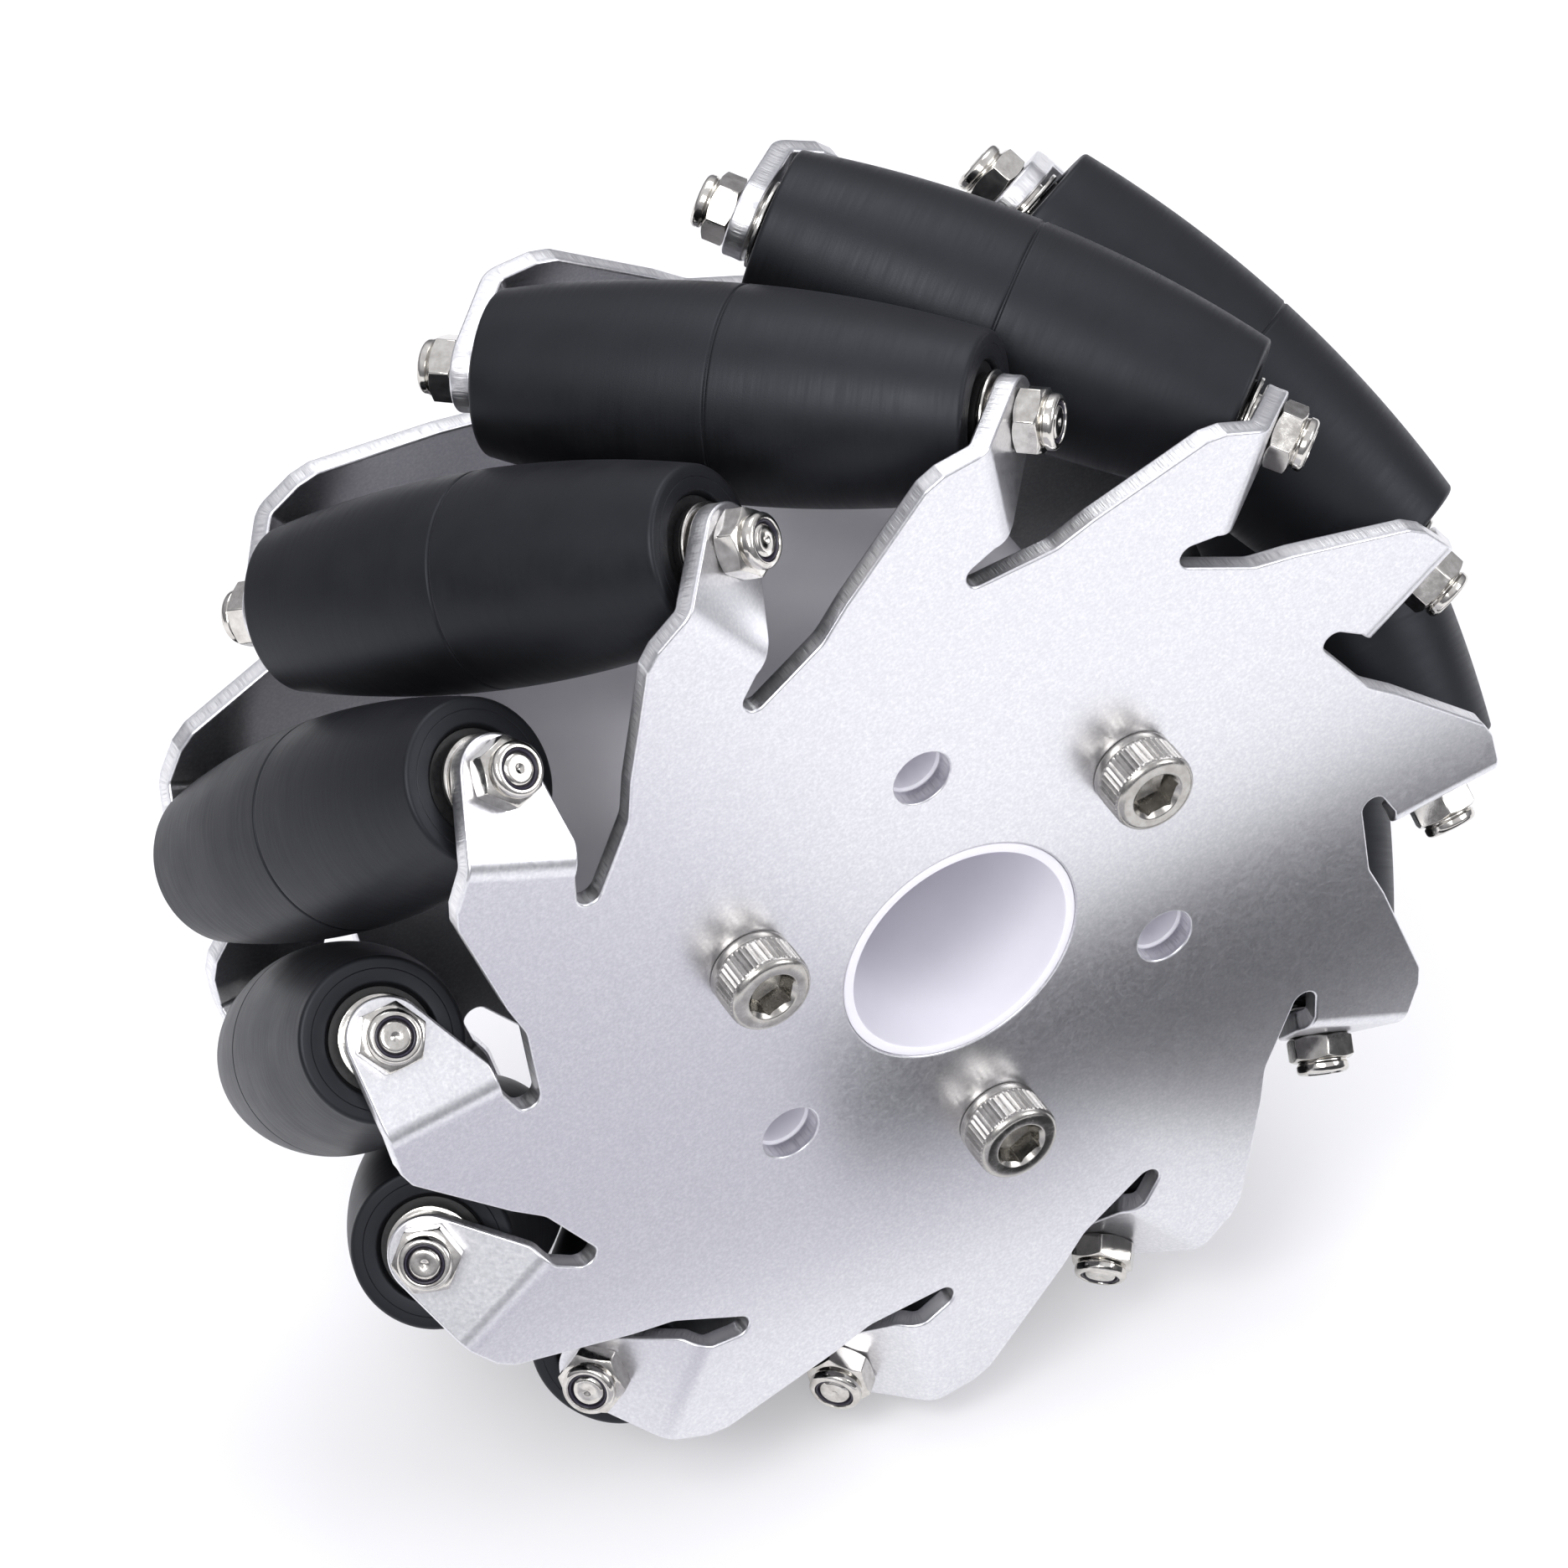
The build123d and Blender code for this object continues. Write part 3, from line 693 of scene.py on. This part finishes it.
def hub():
    sh = Shell()
    e, o = PLATE_OUT - PLATE_T, PLATE_OUT
    half = [(CORE_R, e - 0.5), (CORE_R - 0.15, e - 0.15), (CORE_R - 0.5, e), (SPIGOT_R, e),
            (SPIGOT_R, o - 0.25), (SPIGOT_R - 0.07, o - 0.09), (SPIGOT_R - 0.25, o), (CORE_BORE_R + 0.22, o),
            (CORE_BORE_R + 0.06, o - 0.07), (CORE_BORE_R, o - 0.22)]
    prof = half + [(r, -z) for r, z in reversed(half)]
    m = len(half)
    return lathe(sh, prof, 168, perforated=(2, 2 * m - 4), holes=six(CLAMP_HOLE_R, SPARE_HOLE_R), chamfer=0.25)


def disc():
    sh = Shell()
    hi, lo = -PLATE_OUT, -PLATE_OUT - DISC_T
    prof = [(DISC_R, hi - 0.5), (DISC_R - 0.15, hi - 0.15), (DISC_R - 0.5, hi), (CORE_BORE_R + 0.2, hi),
            (CORE_BORE_R, hi - 0.2), (CORE_BORE_R, lo + 0.2), (CORE_BORE_R + 0.2, lo), (DISC_R - 0.5, lo),
            (DISC_R - 0.15, lo + 0.15), (DISC_R, lo + 0.5)]
    return lathe(sh, prof, 168, perforated=(2, 6), holes=six(CLAMP_HOLE_R, SPARE_HOLE_R), chamfer=0.2)


def coupling():
    sh = Shell()
    hi = -PLATE_OUT - DISC_T
    lo = hi - FLANGE_T
    end = lo - BOSS_L
    prof = [(FLANGE_R, hi - 0.6), (FLANGE_R - 0.2, hi - 0.2), (FLANGE_R - 0.6, hi), (SHAFT_R + 0.4, hi), (SHAFT_R, hi - 0.4),
            (SHAFT_R, end + 0.6), (SHAFT_R + 0.6, end), (BOSS_R - 0.7, end), (BOSS_R - 0.22, end + 0.2),
            (BOSS_R, end + 0.7), (BOSS_R, lo - 0.6), (BOSS_R + 0.12, lo - 0.3), (BOSS_R + 0.3, lo - 0.12), (BOSS_R + 0.6, lo),
            (FLANGE_R - 0.7, lo), (FLANGE_R - 0.22, lo + 0.2), (FLANGE_R, lo + 0.7)]
    return lathe(sh, prof, 168, perforated=(2, 13), holes=six(CLAMP_HOLE_R, SPARE_HOLE_R), chamfer=0.25)


# ------------------------------------------------------------------- materials
class Nodes:
    def __init__(self, name):
        self.mat = bpy.data.materials.new(name)
        self.mat.use_nodes = True
        self.t = self.mat.node_tree
        self.p = self.t.nodes["Principled BSDF"]

    def new(self, kind, **values):
        n = self.t.nodes.new("ShaderNode" + kind)
        for k, v in values.items():
            if k in n.inputs:
                n.inputs[k].default_value = v
            else:
                setattr(n, k, v)
        return n

    def link(self, a, b):
        self.t.links.new(a, b)

    def own(self, scale=(1.0, 1.0, 1.0)):
        a = self.new("Attribute", attribute_name="own")
        m = self.new("Mapping")
        m.inputs["Scale"].default_value = scale
        self.link(a.outputs["Vector"], m.inputs["Vector"])
        return m.outputs["Vector"]

    def fact(self, name):
        return self.new("Attribute", attribute_name=name).outputs["Fac"]

    def noise(self, vector, scale, detail=3.0, rough=0.55):
        n = self.new("TexNoise")
        n.inputs["Scale"].default_value = scale
        n.inputs["Detail"].default_value = detail
        n.inputs["Roughness"].default_value = rough
        self.link(vector, n.inputs["Vector"])
        return n.outputs["Fac"]

    def ramp(self, fac, *stops):
        r = self.new("ValToRGB")
        e = r.color_ramp.elements
        while len(e) < len(stops):
            e.new(0.5)
        for el, (pos, col) in zip(e, stops):
            el.position = pos
            el.color = (*col, 1.0) if len(col) == 3 else col
        self.link(fac, r.inputs["Fac"])
        return r.outputs["Color"]

    def span(self, fac, lo, hi, a=0.0, b=1.0):
        m = self.new("MapRange")
        for k, v in zip(("From Min", "From Max", "To Min", "To Max"), (a, b, lo, hi)):
            m.inputs[k].default_value = v
        self.link(fac, m.inputs["Value"])
        return m.outputs["Result"]

    def math(self, op, a, b=None):
        m = self.new("Math", operation=op)
        for k, v in enumerate((a, b)):
            if v is None:
                continue
            if isinstance(v, (int, float)):
                m.inputs[k].default_value = v
            else:
                self.link(v, m.inputs[k])
        return m.outputs["Value"]

    def mix(self, fac, a, b):
        m = self.new("Mix", data_type="RGBA")
        for sock, v in (("Factor", fac), ("A", a), ("B", b)):
            s = [x for x in m.inputs if x.name == sock and (x.type == "RGBA" or sock == "Factor")][0]
            if isinstance(v, (int, float)):
                s.default_value = v
            elif isinstance(v, tuple):
                s.default_value = (*v, 1.0)
            else:
                self.link(v, s)
        return [x for x in m.outputs if x.type == "RGBA"][0]

    def bump(self, height, distance, strength=1.0, normal=None):
        b = self.new("Bump")
        b.inputs["Distance"].default_value = distance
        b.inputs["Strength"].default_value = strength
        self.link(height, b.inputs["Height"])
        if normal is not None:
            self.link(normal, b.inputs["Normal"])
        return b.outputs["Normal"]

    def set(self, **values):
        for k, v in values.items():
            s = self.p.inputs[k.replace("_", " ")]
            if isinstance(v, (int, float)):
                s.default_value = v
            elif isinstance(v, tuple):
                s.default_value = (*v, 1.0) if len(v) == 3 and s.type == "RGBA" else v
            else:
                self.link(v, s)
        return self


def plate_material():
    m = Nodes("plate_aluminium")
    own = m.own()
    grain = m.noise(own, 2.6, 4.0, 0.62)
    vor = m.new("TexVoronoi", feature="F1")
    vor.inputs["Scale"].default_value = 2.2
    m.link(own, vor.inputs["Vector"])
    fleck = m.new("SeparateColor")
    m.link(vor.outputs["Color"], fleck.inputs["Color"])
    broad = m.noise(own, 0.035, 2.0)
    wall, edge, bend = m.fact("wall"), m.fact("edge"), m.fact("bend")
    # streaks across a sheared edge
    comb = m.new("CombineXYZ")
    m.link(m.math("MULTIPLY", edge, 3.2), comb.inputs["X"])
    m.link(m.math("MULTIPLY", wall, 0.6), comb.inputs["Y"])
    streak = m.noise(comb.outputs["Vector"], 1.0, 3.0, 0.6)
    face = m.ramp(grain, (0.30, (0.68, 0.68, 0.71)), (0.50, (0.755, 0.755, 0.785)), (0.70, (0.87, 0.87, 0.885)))
    face = m.mix(m.span(broad, 0.0, 0.18, 0.35, 0.7), face, (0.74, 0.735, 0.775))
    cut = m.ramp(streak, (0.30, (0.62, 0.62, 0.64)), (0.48, (0.88, 0.88, 0.89)), (0.62, (0.97, 0.97, 0.975)))
    color = m.mix(m.span(wall, 0.0, 1.0, 0.35, 0.95), face, cut)
    rough = m.math("ADD", m.span(fleck.outputs["Red"], -0.015, 0.035), m.span(wall, 0.31, 0.36))
    height = m.math("ADD", m.math("MULTIPLY", grain, 1.0), m.math("MULTIPLY", fleck.outputs["Green"], 0.12))
    n1 = m.bump(height, 0.000014, 0.42)
    n2 = m.bump(m.math("MULTIPLY", streak, wall), 0.00009, 0.8, n1)
    m.set(Base_Color=color, Metallic=1.0, Roughness=rough, Normal=n2)
    return m.mat


def turned_material():
    m = Nodes("turned_aluminium")
    own = m.own()
    sep = m.new("SeparateXYZ")
    m.link(own, sep.inputs["Vector"])
    r = m.math("SQRT", m.math("ADD", m.math("MULTIPLY", sep.outputs["X"], sep.outputs["X"]),
                              m.math("MULTIPLY", sep.outputs["Y"], sep.outputs["Y"])))
    comb = m.new("CombineXYZ")
    m.link(r, comb.inputs["X"])
    m.link(sep.outputs["Z"], comb.inputs["Y"])
    lines = m.noise(comb.outputs["Vector"], 5.5, 4.0, 0.65)
    wide = m.noise(comb.outputs["Vector"], 0.5, 2.0)
    spots = m.noise(own, 0.25, 4.0, 0.6)
    color = m.ramp(lines, (0.3, (0.80, 0.80, 0.815)), (0.7, (0.92, 0.92, 0.925)))
    color = m.mix(m.span(spots, 0.0, 0.25, 0.45, 0.75), color, (0.74, 0.74, 0.75))
    rough = m.math("ADD", m.span(wide, 0.14, 0.26, 0.3, 0.7), m.span(spots, -0.03, 0.05, 0.3, 0.7))
    n = m.bump(lines, 0.00001, 0.7)
    m.set(Base_Color=color, Metallic=1.0, Roughness=rough, Normal=n)
    return m.mat


def nickel_material(name="plated_steel", shade=1.0, dull=0.0):
    m = Nodes(name)
    own = m.own()
    cloud = m.noise(own, 0.8, 4.0, 0.6)
    fine = m.noise(own, 7.0, 3.0, 0.6)
    low, mid, high = ([c * shade for c in col] for col in ((0.54, 0.52, 0.485), (0.68, 0.66, 0.62), (0.78, 0.765, 0.73)))
    color = m.ramp(cloud, (0.32, low), (0.55, mid), (0.75, high))
    rough = m.math("ADD", m.span(cloud, 0.07 + dull, 0.18 + dull, 0.35, 0.7), m.span(fine, -0.02, 0.04, 0.3, 0.7))
    n = m.bump(cloud, 0.00004, 0.3)
    n = m.bump(fine, 0.000008, 0.4, n)
    m.set(Base_Color=color, Metallic=1.0, Roughness=rough, Normal=n)
    return m.mat


def black_steel_material():
    m = Nodes("set_screw_steel")
    own = m.own()
    cloud = m.noise(own, 1.2, 4.0)
    m.set(Base_Color=m.ramp(cloud, (0.35, (0.03, 0.03, 0.032)), (0.7, (0.09, 0.09, 0.095))), Metallic=0.85,
          Roughness=m.span(cloud, 0.28, 0.42, 0.3, 0.7), Normal=m.bump(cloud, 0.00004, 0.4))
    return m.mat


def nylon_material():
    m = Nodes("core_nylon")
    own = m.own()
    sep = m.new("SeparateXYZ")
    m.link(own, sep.inputs["Vector"])
    cloud = m.noise(own, 0.10, 3.0)
    fine = m.noise(own, 3.0, 3.0)
    comb = m.new("CombineXYZ")
    m.link(sep.outputs["Z"], comb.inputs["X"])
    lines = m.noise(comb.outputs["Vector"], 2.2, 3.0)
    color = m.ramp(cloud, (0.35, (0.87, 0.855, 0.925)), (0.65, (0.90, 0.885, 0.95)))
    n = m.bump(lines, 0.00002, 0.35)
    n = m.bump(fine, 0.00001, 0.4, n)
    m.set(Base_Color=color, Roughness=m.span(fine, 0.34, 0.46, 0.3, 0.7), Normal=n)
    m.set(Subsurface_Weight=0.2, Subsurface_Scale=0.005)
    m.p.inputs["Subsurface Radius"].default_value = (1.0, 0.9, 1.0)
    return m.mat


def ring_material():
    m = Nodes("lock_ring_nylon")
    own = m.own()
    fine = m.noise(own, 4.0, 3.0)
    m.set(Base_Color=m.ramp(fine, (0.3, (0.010, 0.008, 0.018)), (0.7, (0.030, 0.024, 0.048))),
          Roughness=m.span(fine, 0.28, 0.45, 0.3, 0.7), Normal=m.bump(fine, 0.00003, 0.4))
    return m.mat


def rubber_material():
    m = Nodes("roller_rubber")
    own = m.own()
    sep = m.new("SeparateXYZ")
    m.link(own, sep.inputs["Vector"])
    fine = m.noise(own, 5.0, 4.0, 0.6)
    cloud = m.noise(own, 0.16, 3.0)
    turned = m.own((0.12, 0.12, 2.4))
    marks = m.noise(turned, 1.0, 3.0, 0.6)
    color = m.ramp(cloud, (0.3, (0.0036, 0.0036, 0.0042)), (0.7, (0.0066, 0.0066, 0.0078)))
    rough = m.math("ADD", m.span(cloud, 0.42, 0.50, 0.3, 0.7), m.span(marks, -0.03, 0.05, 0.3, 0.7))
    n = m.bump(marks, 0.00003, 0.25)
    n = m.bump(fine, 0.00002, 0.45, n)
    m.set(Base_Color=color, Roughness=rough, Normal=n)
    m.set(Specular_IOR_Level=0.38, Specular_Tint=(0.84, 0.89, 1.0), Sheen_Weight=0.015, Sheen_Roughness=0.5)
    m.p.inputs["Sheen Tint"].default_value = (0.82, 0.82, 1.0, 1.0)
    return m.mat


def core_material():
    m = Nodes("roller_core_plastic")
    fine = m.noise(m.own(), 2.5, 3.0)
    m.set(Base_Color=m.ramp(fine, (0.3, (0.006, 0.006, 0.007)), (0.7, (0.014, 0.014, 0.015))),
          Roughness=m.span(fine, 0.35, 0.5, 0.3, 0.7), Normal=m.bump(fine, 0.00003, 0.4))
    return m.mat


def bush_material():
    m = Nodes("bush_plastic")
    fine = m.noise(m.own(), 4.5, 4.0)
    m.set(Base_Color=m.ramp(fine, (0.3, (0.004, 0.004, 0.0045)), (0.7, (0.009, 0.009, 0.010))),
          Roughness=m.span(fine, 0.32, 0.45, 0.3, 0.7), Normal=m.bump(fine, 0.00003, 0.4))
    m.set(Specular_IOR_Level=0.3)
    return m.mat


PLATE, TURNED, NICKEL = plate_material(), turned_material(), nickel_material()
# the cap screws get a darker copy of the plated steel, colour scaled by 0.70: painted shade on the same plating
SHADED_HEADS = nickel_material("plated_steel_heads_painted_shade", 0.70, 0.10)
BLACK, NYLON, RING = black_steel_material(), nylon_material(), ring_material()
RUBBER, CORE, BUSH = rubber_material(), core_material(), bush_material()

# ------------------------------------------------------------------ the pieces
flat_plate = plate()
piece("plate_front", Shell().add(flat_plate, Matrix.Identity(4)), PLATE, "wheel", ["front_plate"], exact=True)
piece("plate_back", Shell().add(flat_plate, FLIP, (300.0, 0.0, 0.0)), PLATE, "wheel", ["back_plate"], exact=True)
piece("hub_drum", hub(), NYLON, "wheel", ["hub_core"])
piece("rear_disc", disc(), TURNED, "wheel", ["adapter_disc"])

# coupling: the two set screw holes are cut out of its boss
boss = piece("rear_coupling", coupling(), TURNED, "wheel", ["shaft_coupling"])
set_z = -PLATE_OUT - DISC_T - FLANGE_T - BOSS_L * 0.5


def radial(deg):
    z = Vector((*polar(1, deg), 0))
    x = Vector((0, 0, 1))
    m = Matrix((x, z.cross(x), z)).transposed().to_4x4()
    m.translation = (0, 0, set_z)
    return m


cutter = Shell()
for deg in (SCREW_ANGLE, SCREW_ANGLE + 120):
    one = lathe(Shell(), [(0, 3.0), (2.5, 3.0), (2.5, BOSS_R - 0.75), (3.3, BOSS_R + 0.05), (3.3, BOSS_R + 4), (0, BOSS_R + 4)], 64, closed=False)
    cutter.add(one, radial(deg))
cut_me = bpy.data.meshes.new("cutter")
cut_me.from_pydata([(x * 0.001, -z * 0.001, y * 0.001) for x, y, z in cutter.v], [], cutter.f)
bm = bmesh.new()
bm.from_mesh(cut_me)
bmesh.ops.recalc_face_normals(bm, faces=bm.faces)
bm.to_mesh(cut_me)
bm.free()
cut_ob = bpy.data.objects.new("cutter", cut_me)
bpy.context.scene.collection.objects.link(cut_ob)
boss.modifiers.clear()
bo = boss.modifiers.new("set_holes", "BOOLEAN")
bo.operation, bo.solver, bo.object = "DIFFERENCE", "EXACT", cut_ob
bpy.context.view_layer.update()
done = bpy.data.meshes.new_from_object(boss.evaluated_get(bpy.context.evaluated_depsgraph_get()))
boss.modifiers.clear()
boss.data = done
bpy.data.objects.remove(cut_ob)
for key in ("own", "wall", "edge", "bend"):
    if key in done.attributes:
        done.attributes.remove(done.attributes[key])
att = done.attributes.new("own", "FLOAT_VECTOR", "POINT")
att.data.foreach_set("vector", np.array([(v.co.x * 1000, v.co.z * 1000, -v.co.y * 1000) for v in done.vertices], np.float32).ravel())
if not done.materials:
    done.materials.append(TURNED)
done.set_sharp_from_angle(angle=math.radians(34))
wn = boss.modifiers.new("weighted", "WEIGHTED_NORMAL")
wn.keep_sharp, wn.mode, wn.weight = True, "FACE_AREA", 50

grubs = Shell()
for k, deg in enumerate((SCREW_ANGLE, SCREW_ANGLE + 120)):
    grubs.add(set_screw(), radial(deg), (40.0 * k, 0, 0))
piece("grub_screws", grubs, BLACK, "wheel", ["coupling_set_screws"])

one_cap = cap_screw()
one_nut = nut(10.0, 5.0, 3.0)
one_lock = nut(10.0, 6.0, 3.0, hex_h=6.0 * 0.66, insert=1.6)
one_ring = nut_ring(6.0, 3.0, 1.6, 10 / 7)
caps, nuts, locks, rings_ = Shell(), Shell(), Shell(), Shell()
z_flange = -PLATE_OUT - DISC_T - FLANGE_T
for i in range(3):
    deg = SCREW_ANGLE + 120 * i
    x, y = polar(SCREW_PCR, deg)
    off = (23.0 * i, 11.0 * i, 0.0)
    caps.add(one_cap, at(x, y, PLATE_OUT, deg + 11 * i), off)
    nuts.add(one_nut, at(x, y, z_flange, deg + 17 * i, True), off)
    locks.add(one_lock, at(x, y, z_flange - 5.0, deg + 29 * i + 8, True), off)
    rings_.add(one_ring, at(x, y, z_flange - 5.0, 0, True), off)
# the cap screws wear the darker copy of the plated steel, which is painted shade
piece("cap_screws", caps, SHADED_HEADS, "wheel", ["clamp_screws"])
piece("flange_nuts", nuts, NICKEL, "wheel", ["clamp_nuts"])
piece("flange_lock_nuts", locks, NICKEL, "wheel", ["clamp_lock_nuts"])
piece("flange_lock_rings", rings_, RING, "wheel", ["clamp_lock_nut_rings"])

m4_nut = nut(7.0, 4.5, 2.0, hex_h=4.5 * 0.66, insert=1.0)
m4_ring = nut_ring(4.5, 2.0, 1.0, 1.0)
one_stud, one_washer = stud(), washer()
one_tyre, one_core, one_bush = tyre(), roller_core(), bushes()
studs = Shell()
parts = {"front": [Shell(), Shell(), Shell()], "back": [Shell(), Shell(), Shell()]}
for i in range(ROLLERS):
    rf = roller_frame(i)
    off = (31.0 * i, 17.0 * i, 0.0)
    studs.add(one_stud, rf @ at(0, 0, 0, 37 * i), off)
    seat = rf @ at(0, 0, EAR_OUT, 23 * i + 10)
    for side, turn in (("front", Matrix.Identity(4)), ("back", FLIP)):
        a, b, c = parts[side]
        more = (off[0] + (500.0 if side == "back" else 0.0), off[1], 0.0)
        a.add(m4_nut, turn @ seat, more)
        b.add(m4_ring, turn @ seat, more)
        c.add(one_washer, turn @ rf, more)
piece("studs", studs, NICKEL, "wheel", ["roller_studs"])
for side in ("front", "back"):
    a, b, c = parts[side]
    piece(f"{side}_nuts", a, NICKEL, "wheel", [f"{side}_stud_lock_nuts"])
    piece(f"{side}_nut_rings", b, RING, "wheel", [f"{side}_lock_nut_rings"])
    piece(f"{side}_washers", c, NICKEL, "wheel", [f"{side}_thrust_washers"])
for i, tag in enumerate(TAGS):
    rf = roller_frame(i)
    off = (57.0 * i, 29.0 * i, 0.0)
    body = f"roller_{tag}"
    piece(f"tyre_{tag}", Shell().add(one_tyre, rf, off), RUBBER, body, [f"roller_tyre_{tag}"])
    piece(f"core_{tag}", Shell().add(one_core, rf, off), CORE, body, [f"roller_core_{tag}"])
    piece(f"bushes_{tag}", Shell().add(one_bush, rf, off), BUSH, body, [f"roller_bushes_{tag}"])

# ------------------------------------------------------- floor, lights, camera
scene = bpy.context.scene
me = bpy.data.meshes.new("floor")
s = 0.8
me.from_pydata([(-s, -s, -0.0762), (s, -s, -0.0762), (s, s, -0.0762), (-s, s, -0.0762)], [], [(0, 1, 2, 3)])
floor = bpy.data.objects.new("floor", me)
scene.collection.objects.link(floor)
fm = Nodes("floor")
coord = fm.new("TexCoord")
fn = fm.noise(coord.outputs["Object"], 3.0, 2.0)
fm.set(Base_Color=fm.ramp(fn, (0.3, (0.60, 0.60, 0.61)), (0.7, (0.62, 0.62, 0.63))), Roughness=0.6)
fm.set(Emission_Color=(0.98, 0.975, 1.0), Emission_Strength=0.36)
me.materials.append(fm.mat)

world = bpy.data.worlds.new("studio")
world.use_nodes = True
scene.world = world
bg = world.node_tree.nodes["Background"]
wt = world.node_tree
sky = wt.nodes.new("ShaderNodeTexCoord")
axes = wt.nodes.new("ShaderNodeSeparateXYZ")
dome = wt.nodes.new("ShaderNodeValToRGB")
wt.links.new(sky.outputs["Generated"], axes.inputs["Vector"])
wt.links.new(axes.outputs["Z"], dome.inputs["Fac"])
stops = dome.color_ramp.elements
stops.new(0.5)
for stop, (pos, col) in zip(stops, ((0.06, (0.24, 0.24, 0.26)), (0.24, (0.36, 0.36, 0.39)), (0.60, (0.88, 0.88, 0.92)))):
    stop.position, stop.color = pos, (*col, 1.0)
wt.links.new(dome.outputs["Color"], bg.inputs["Color"])
bg.inputs["Strength"].default_value = 0.95


def softbox(name, place, aim, size, power, color=(1, 1, 1), size_y=None):
    lamp = bpy.data.lights.new(name, "AREA")
    lamp.energy, lamp.color = power, color
    lamp.shape = "RECTANGLE"
    lamp.size, lamp.size_y = size, size_y or size
    ob = bpy.data.objects.new(name, lamp)
    ob.location = place
    ob.rotation_euler = (Vector(aim) - Vector(place)).to_track_quat("-Z", "Y").to_euler()
    scene.collection.objects.link(ob)
    return ob


softbox("key", (-0.70, -0.44, 1.0), (0, 0, 0), 0.5, 6.2, (1.0, 0.995, 0.985))
softbox("fill", (-0.52, -0.92, 0.86), (0, 0, 0), 0.5, 3.1, (0.99, 0.99, 1.0))
softbox("top", (0.25, 0.45, 1.2), (0, 0, 0), 0.8, 5.0, (0.97, 0.98, 1.0))
softbox("front", (0.80, -0.66, 0.62), (0, 0, 0), 0.5, 3.5, (0.98, 0.98, 1.0))

# a dark card in front and to the right, a painted dark reflection in the plates and hardware, and a grey sheet on the
# floor near the wheel, a painted floor shadow; only reflections see them
me = bpy.data.meshes.new("flag")
me.from_pydata([(-0.004, -0.054, -0.051), (0.030, -0.056, -0.059), (0.060, -0.058, -0.076), (0.20, -0.066, -0.076),
                (0.20, -0.066, -0.012), (-0.004, -0.054, -0.031)], [], [(0, 1, 2, 3, 4, 5)])
me2 = bpy.data.meshes.new("floor_shadow_patch")
me2.from_pydata([(-0.20, -0.21, -0.0755), (0.010, -0.19, -0.0755), (0.042, -0.058, -0.0755), (-0.20, -0.066, -0.0755)], [], [(0, 1, 2, 3)])
for name, mesh, tint in (("flag", me, (0.062, 0.064, 0.070)), ("floor_shadow_patch", me2, (0.47, 0.465, 0.505))):
    card = bpy.data.objects.new(name, mesh)
    scene.collection.objects.link(card)
    paint = Nodes(name)
    paint.set(Base_Color=tint, Roughness=0.7)
    mesh.materials.append(paint.mat)
    card.visible_camera = card.visible_diffuse = card.visible_shadow = card.visible_transmission = False

cam_data = bpy.data.cameras.new("camera")
cam_data.sensor_width = 36.0
cam_data.lens = 198.0
cam_data.clip_start = 0.05
cam = bpy.data.objects.new("camera", cam_data)
cam.location = (-0.35230253, -0.64313685, 0.65082359)
cam.rotation_euler = Vector((0.355581, 0.660852, -0.664496)).to_track_quat("-Z", "Y").to_euler()
scene.collection.objects.link(cam)
scene.camera = cam
scene.view_settings.view_transform = "Standard"
scene.view_settings.look = "None"
scene.view_settings.exposure = 0.0
scene.view_settings.gamma = 1.0

bpy.context.view_layer.update()
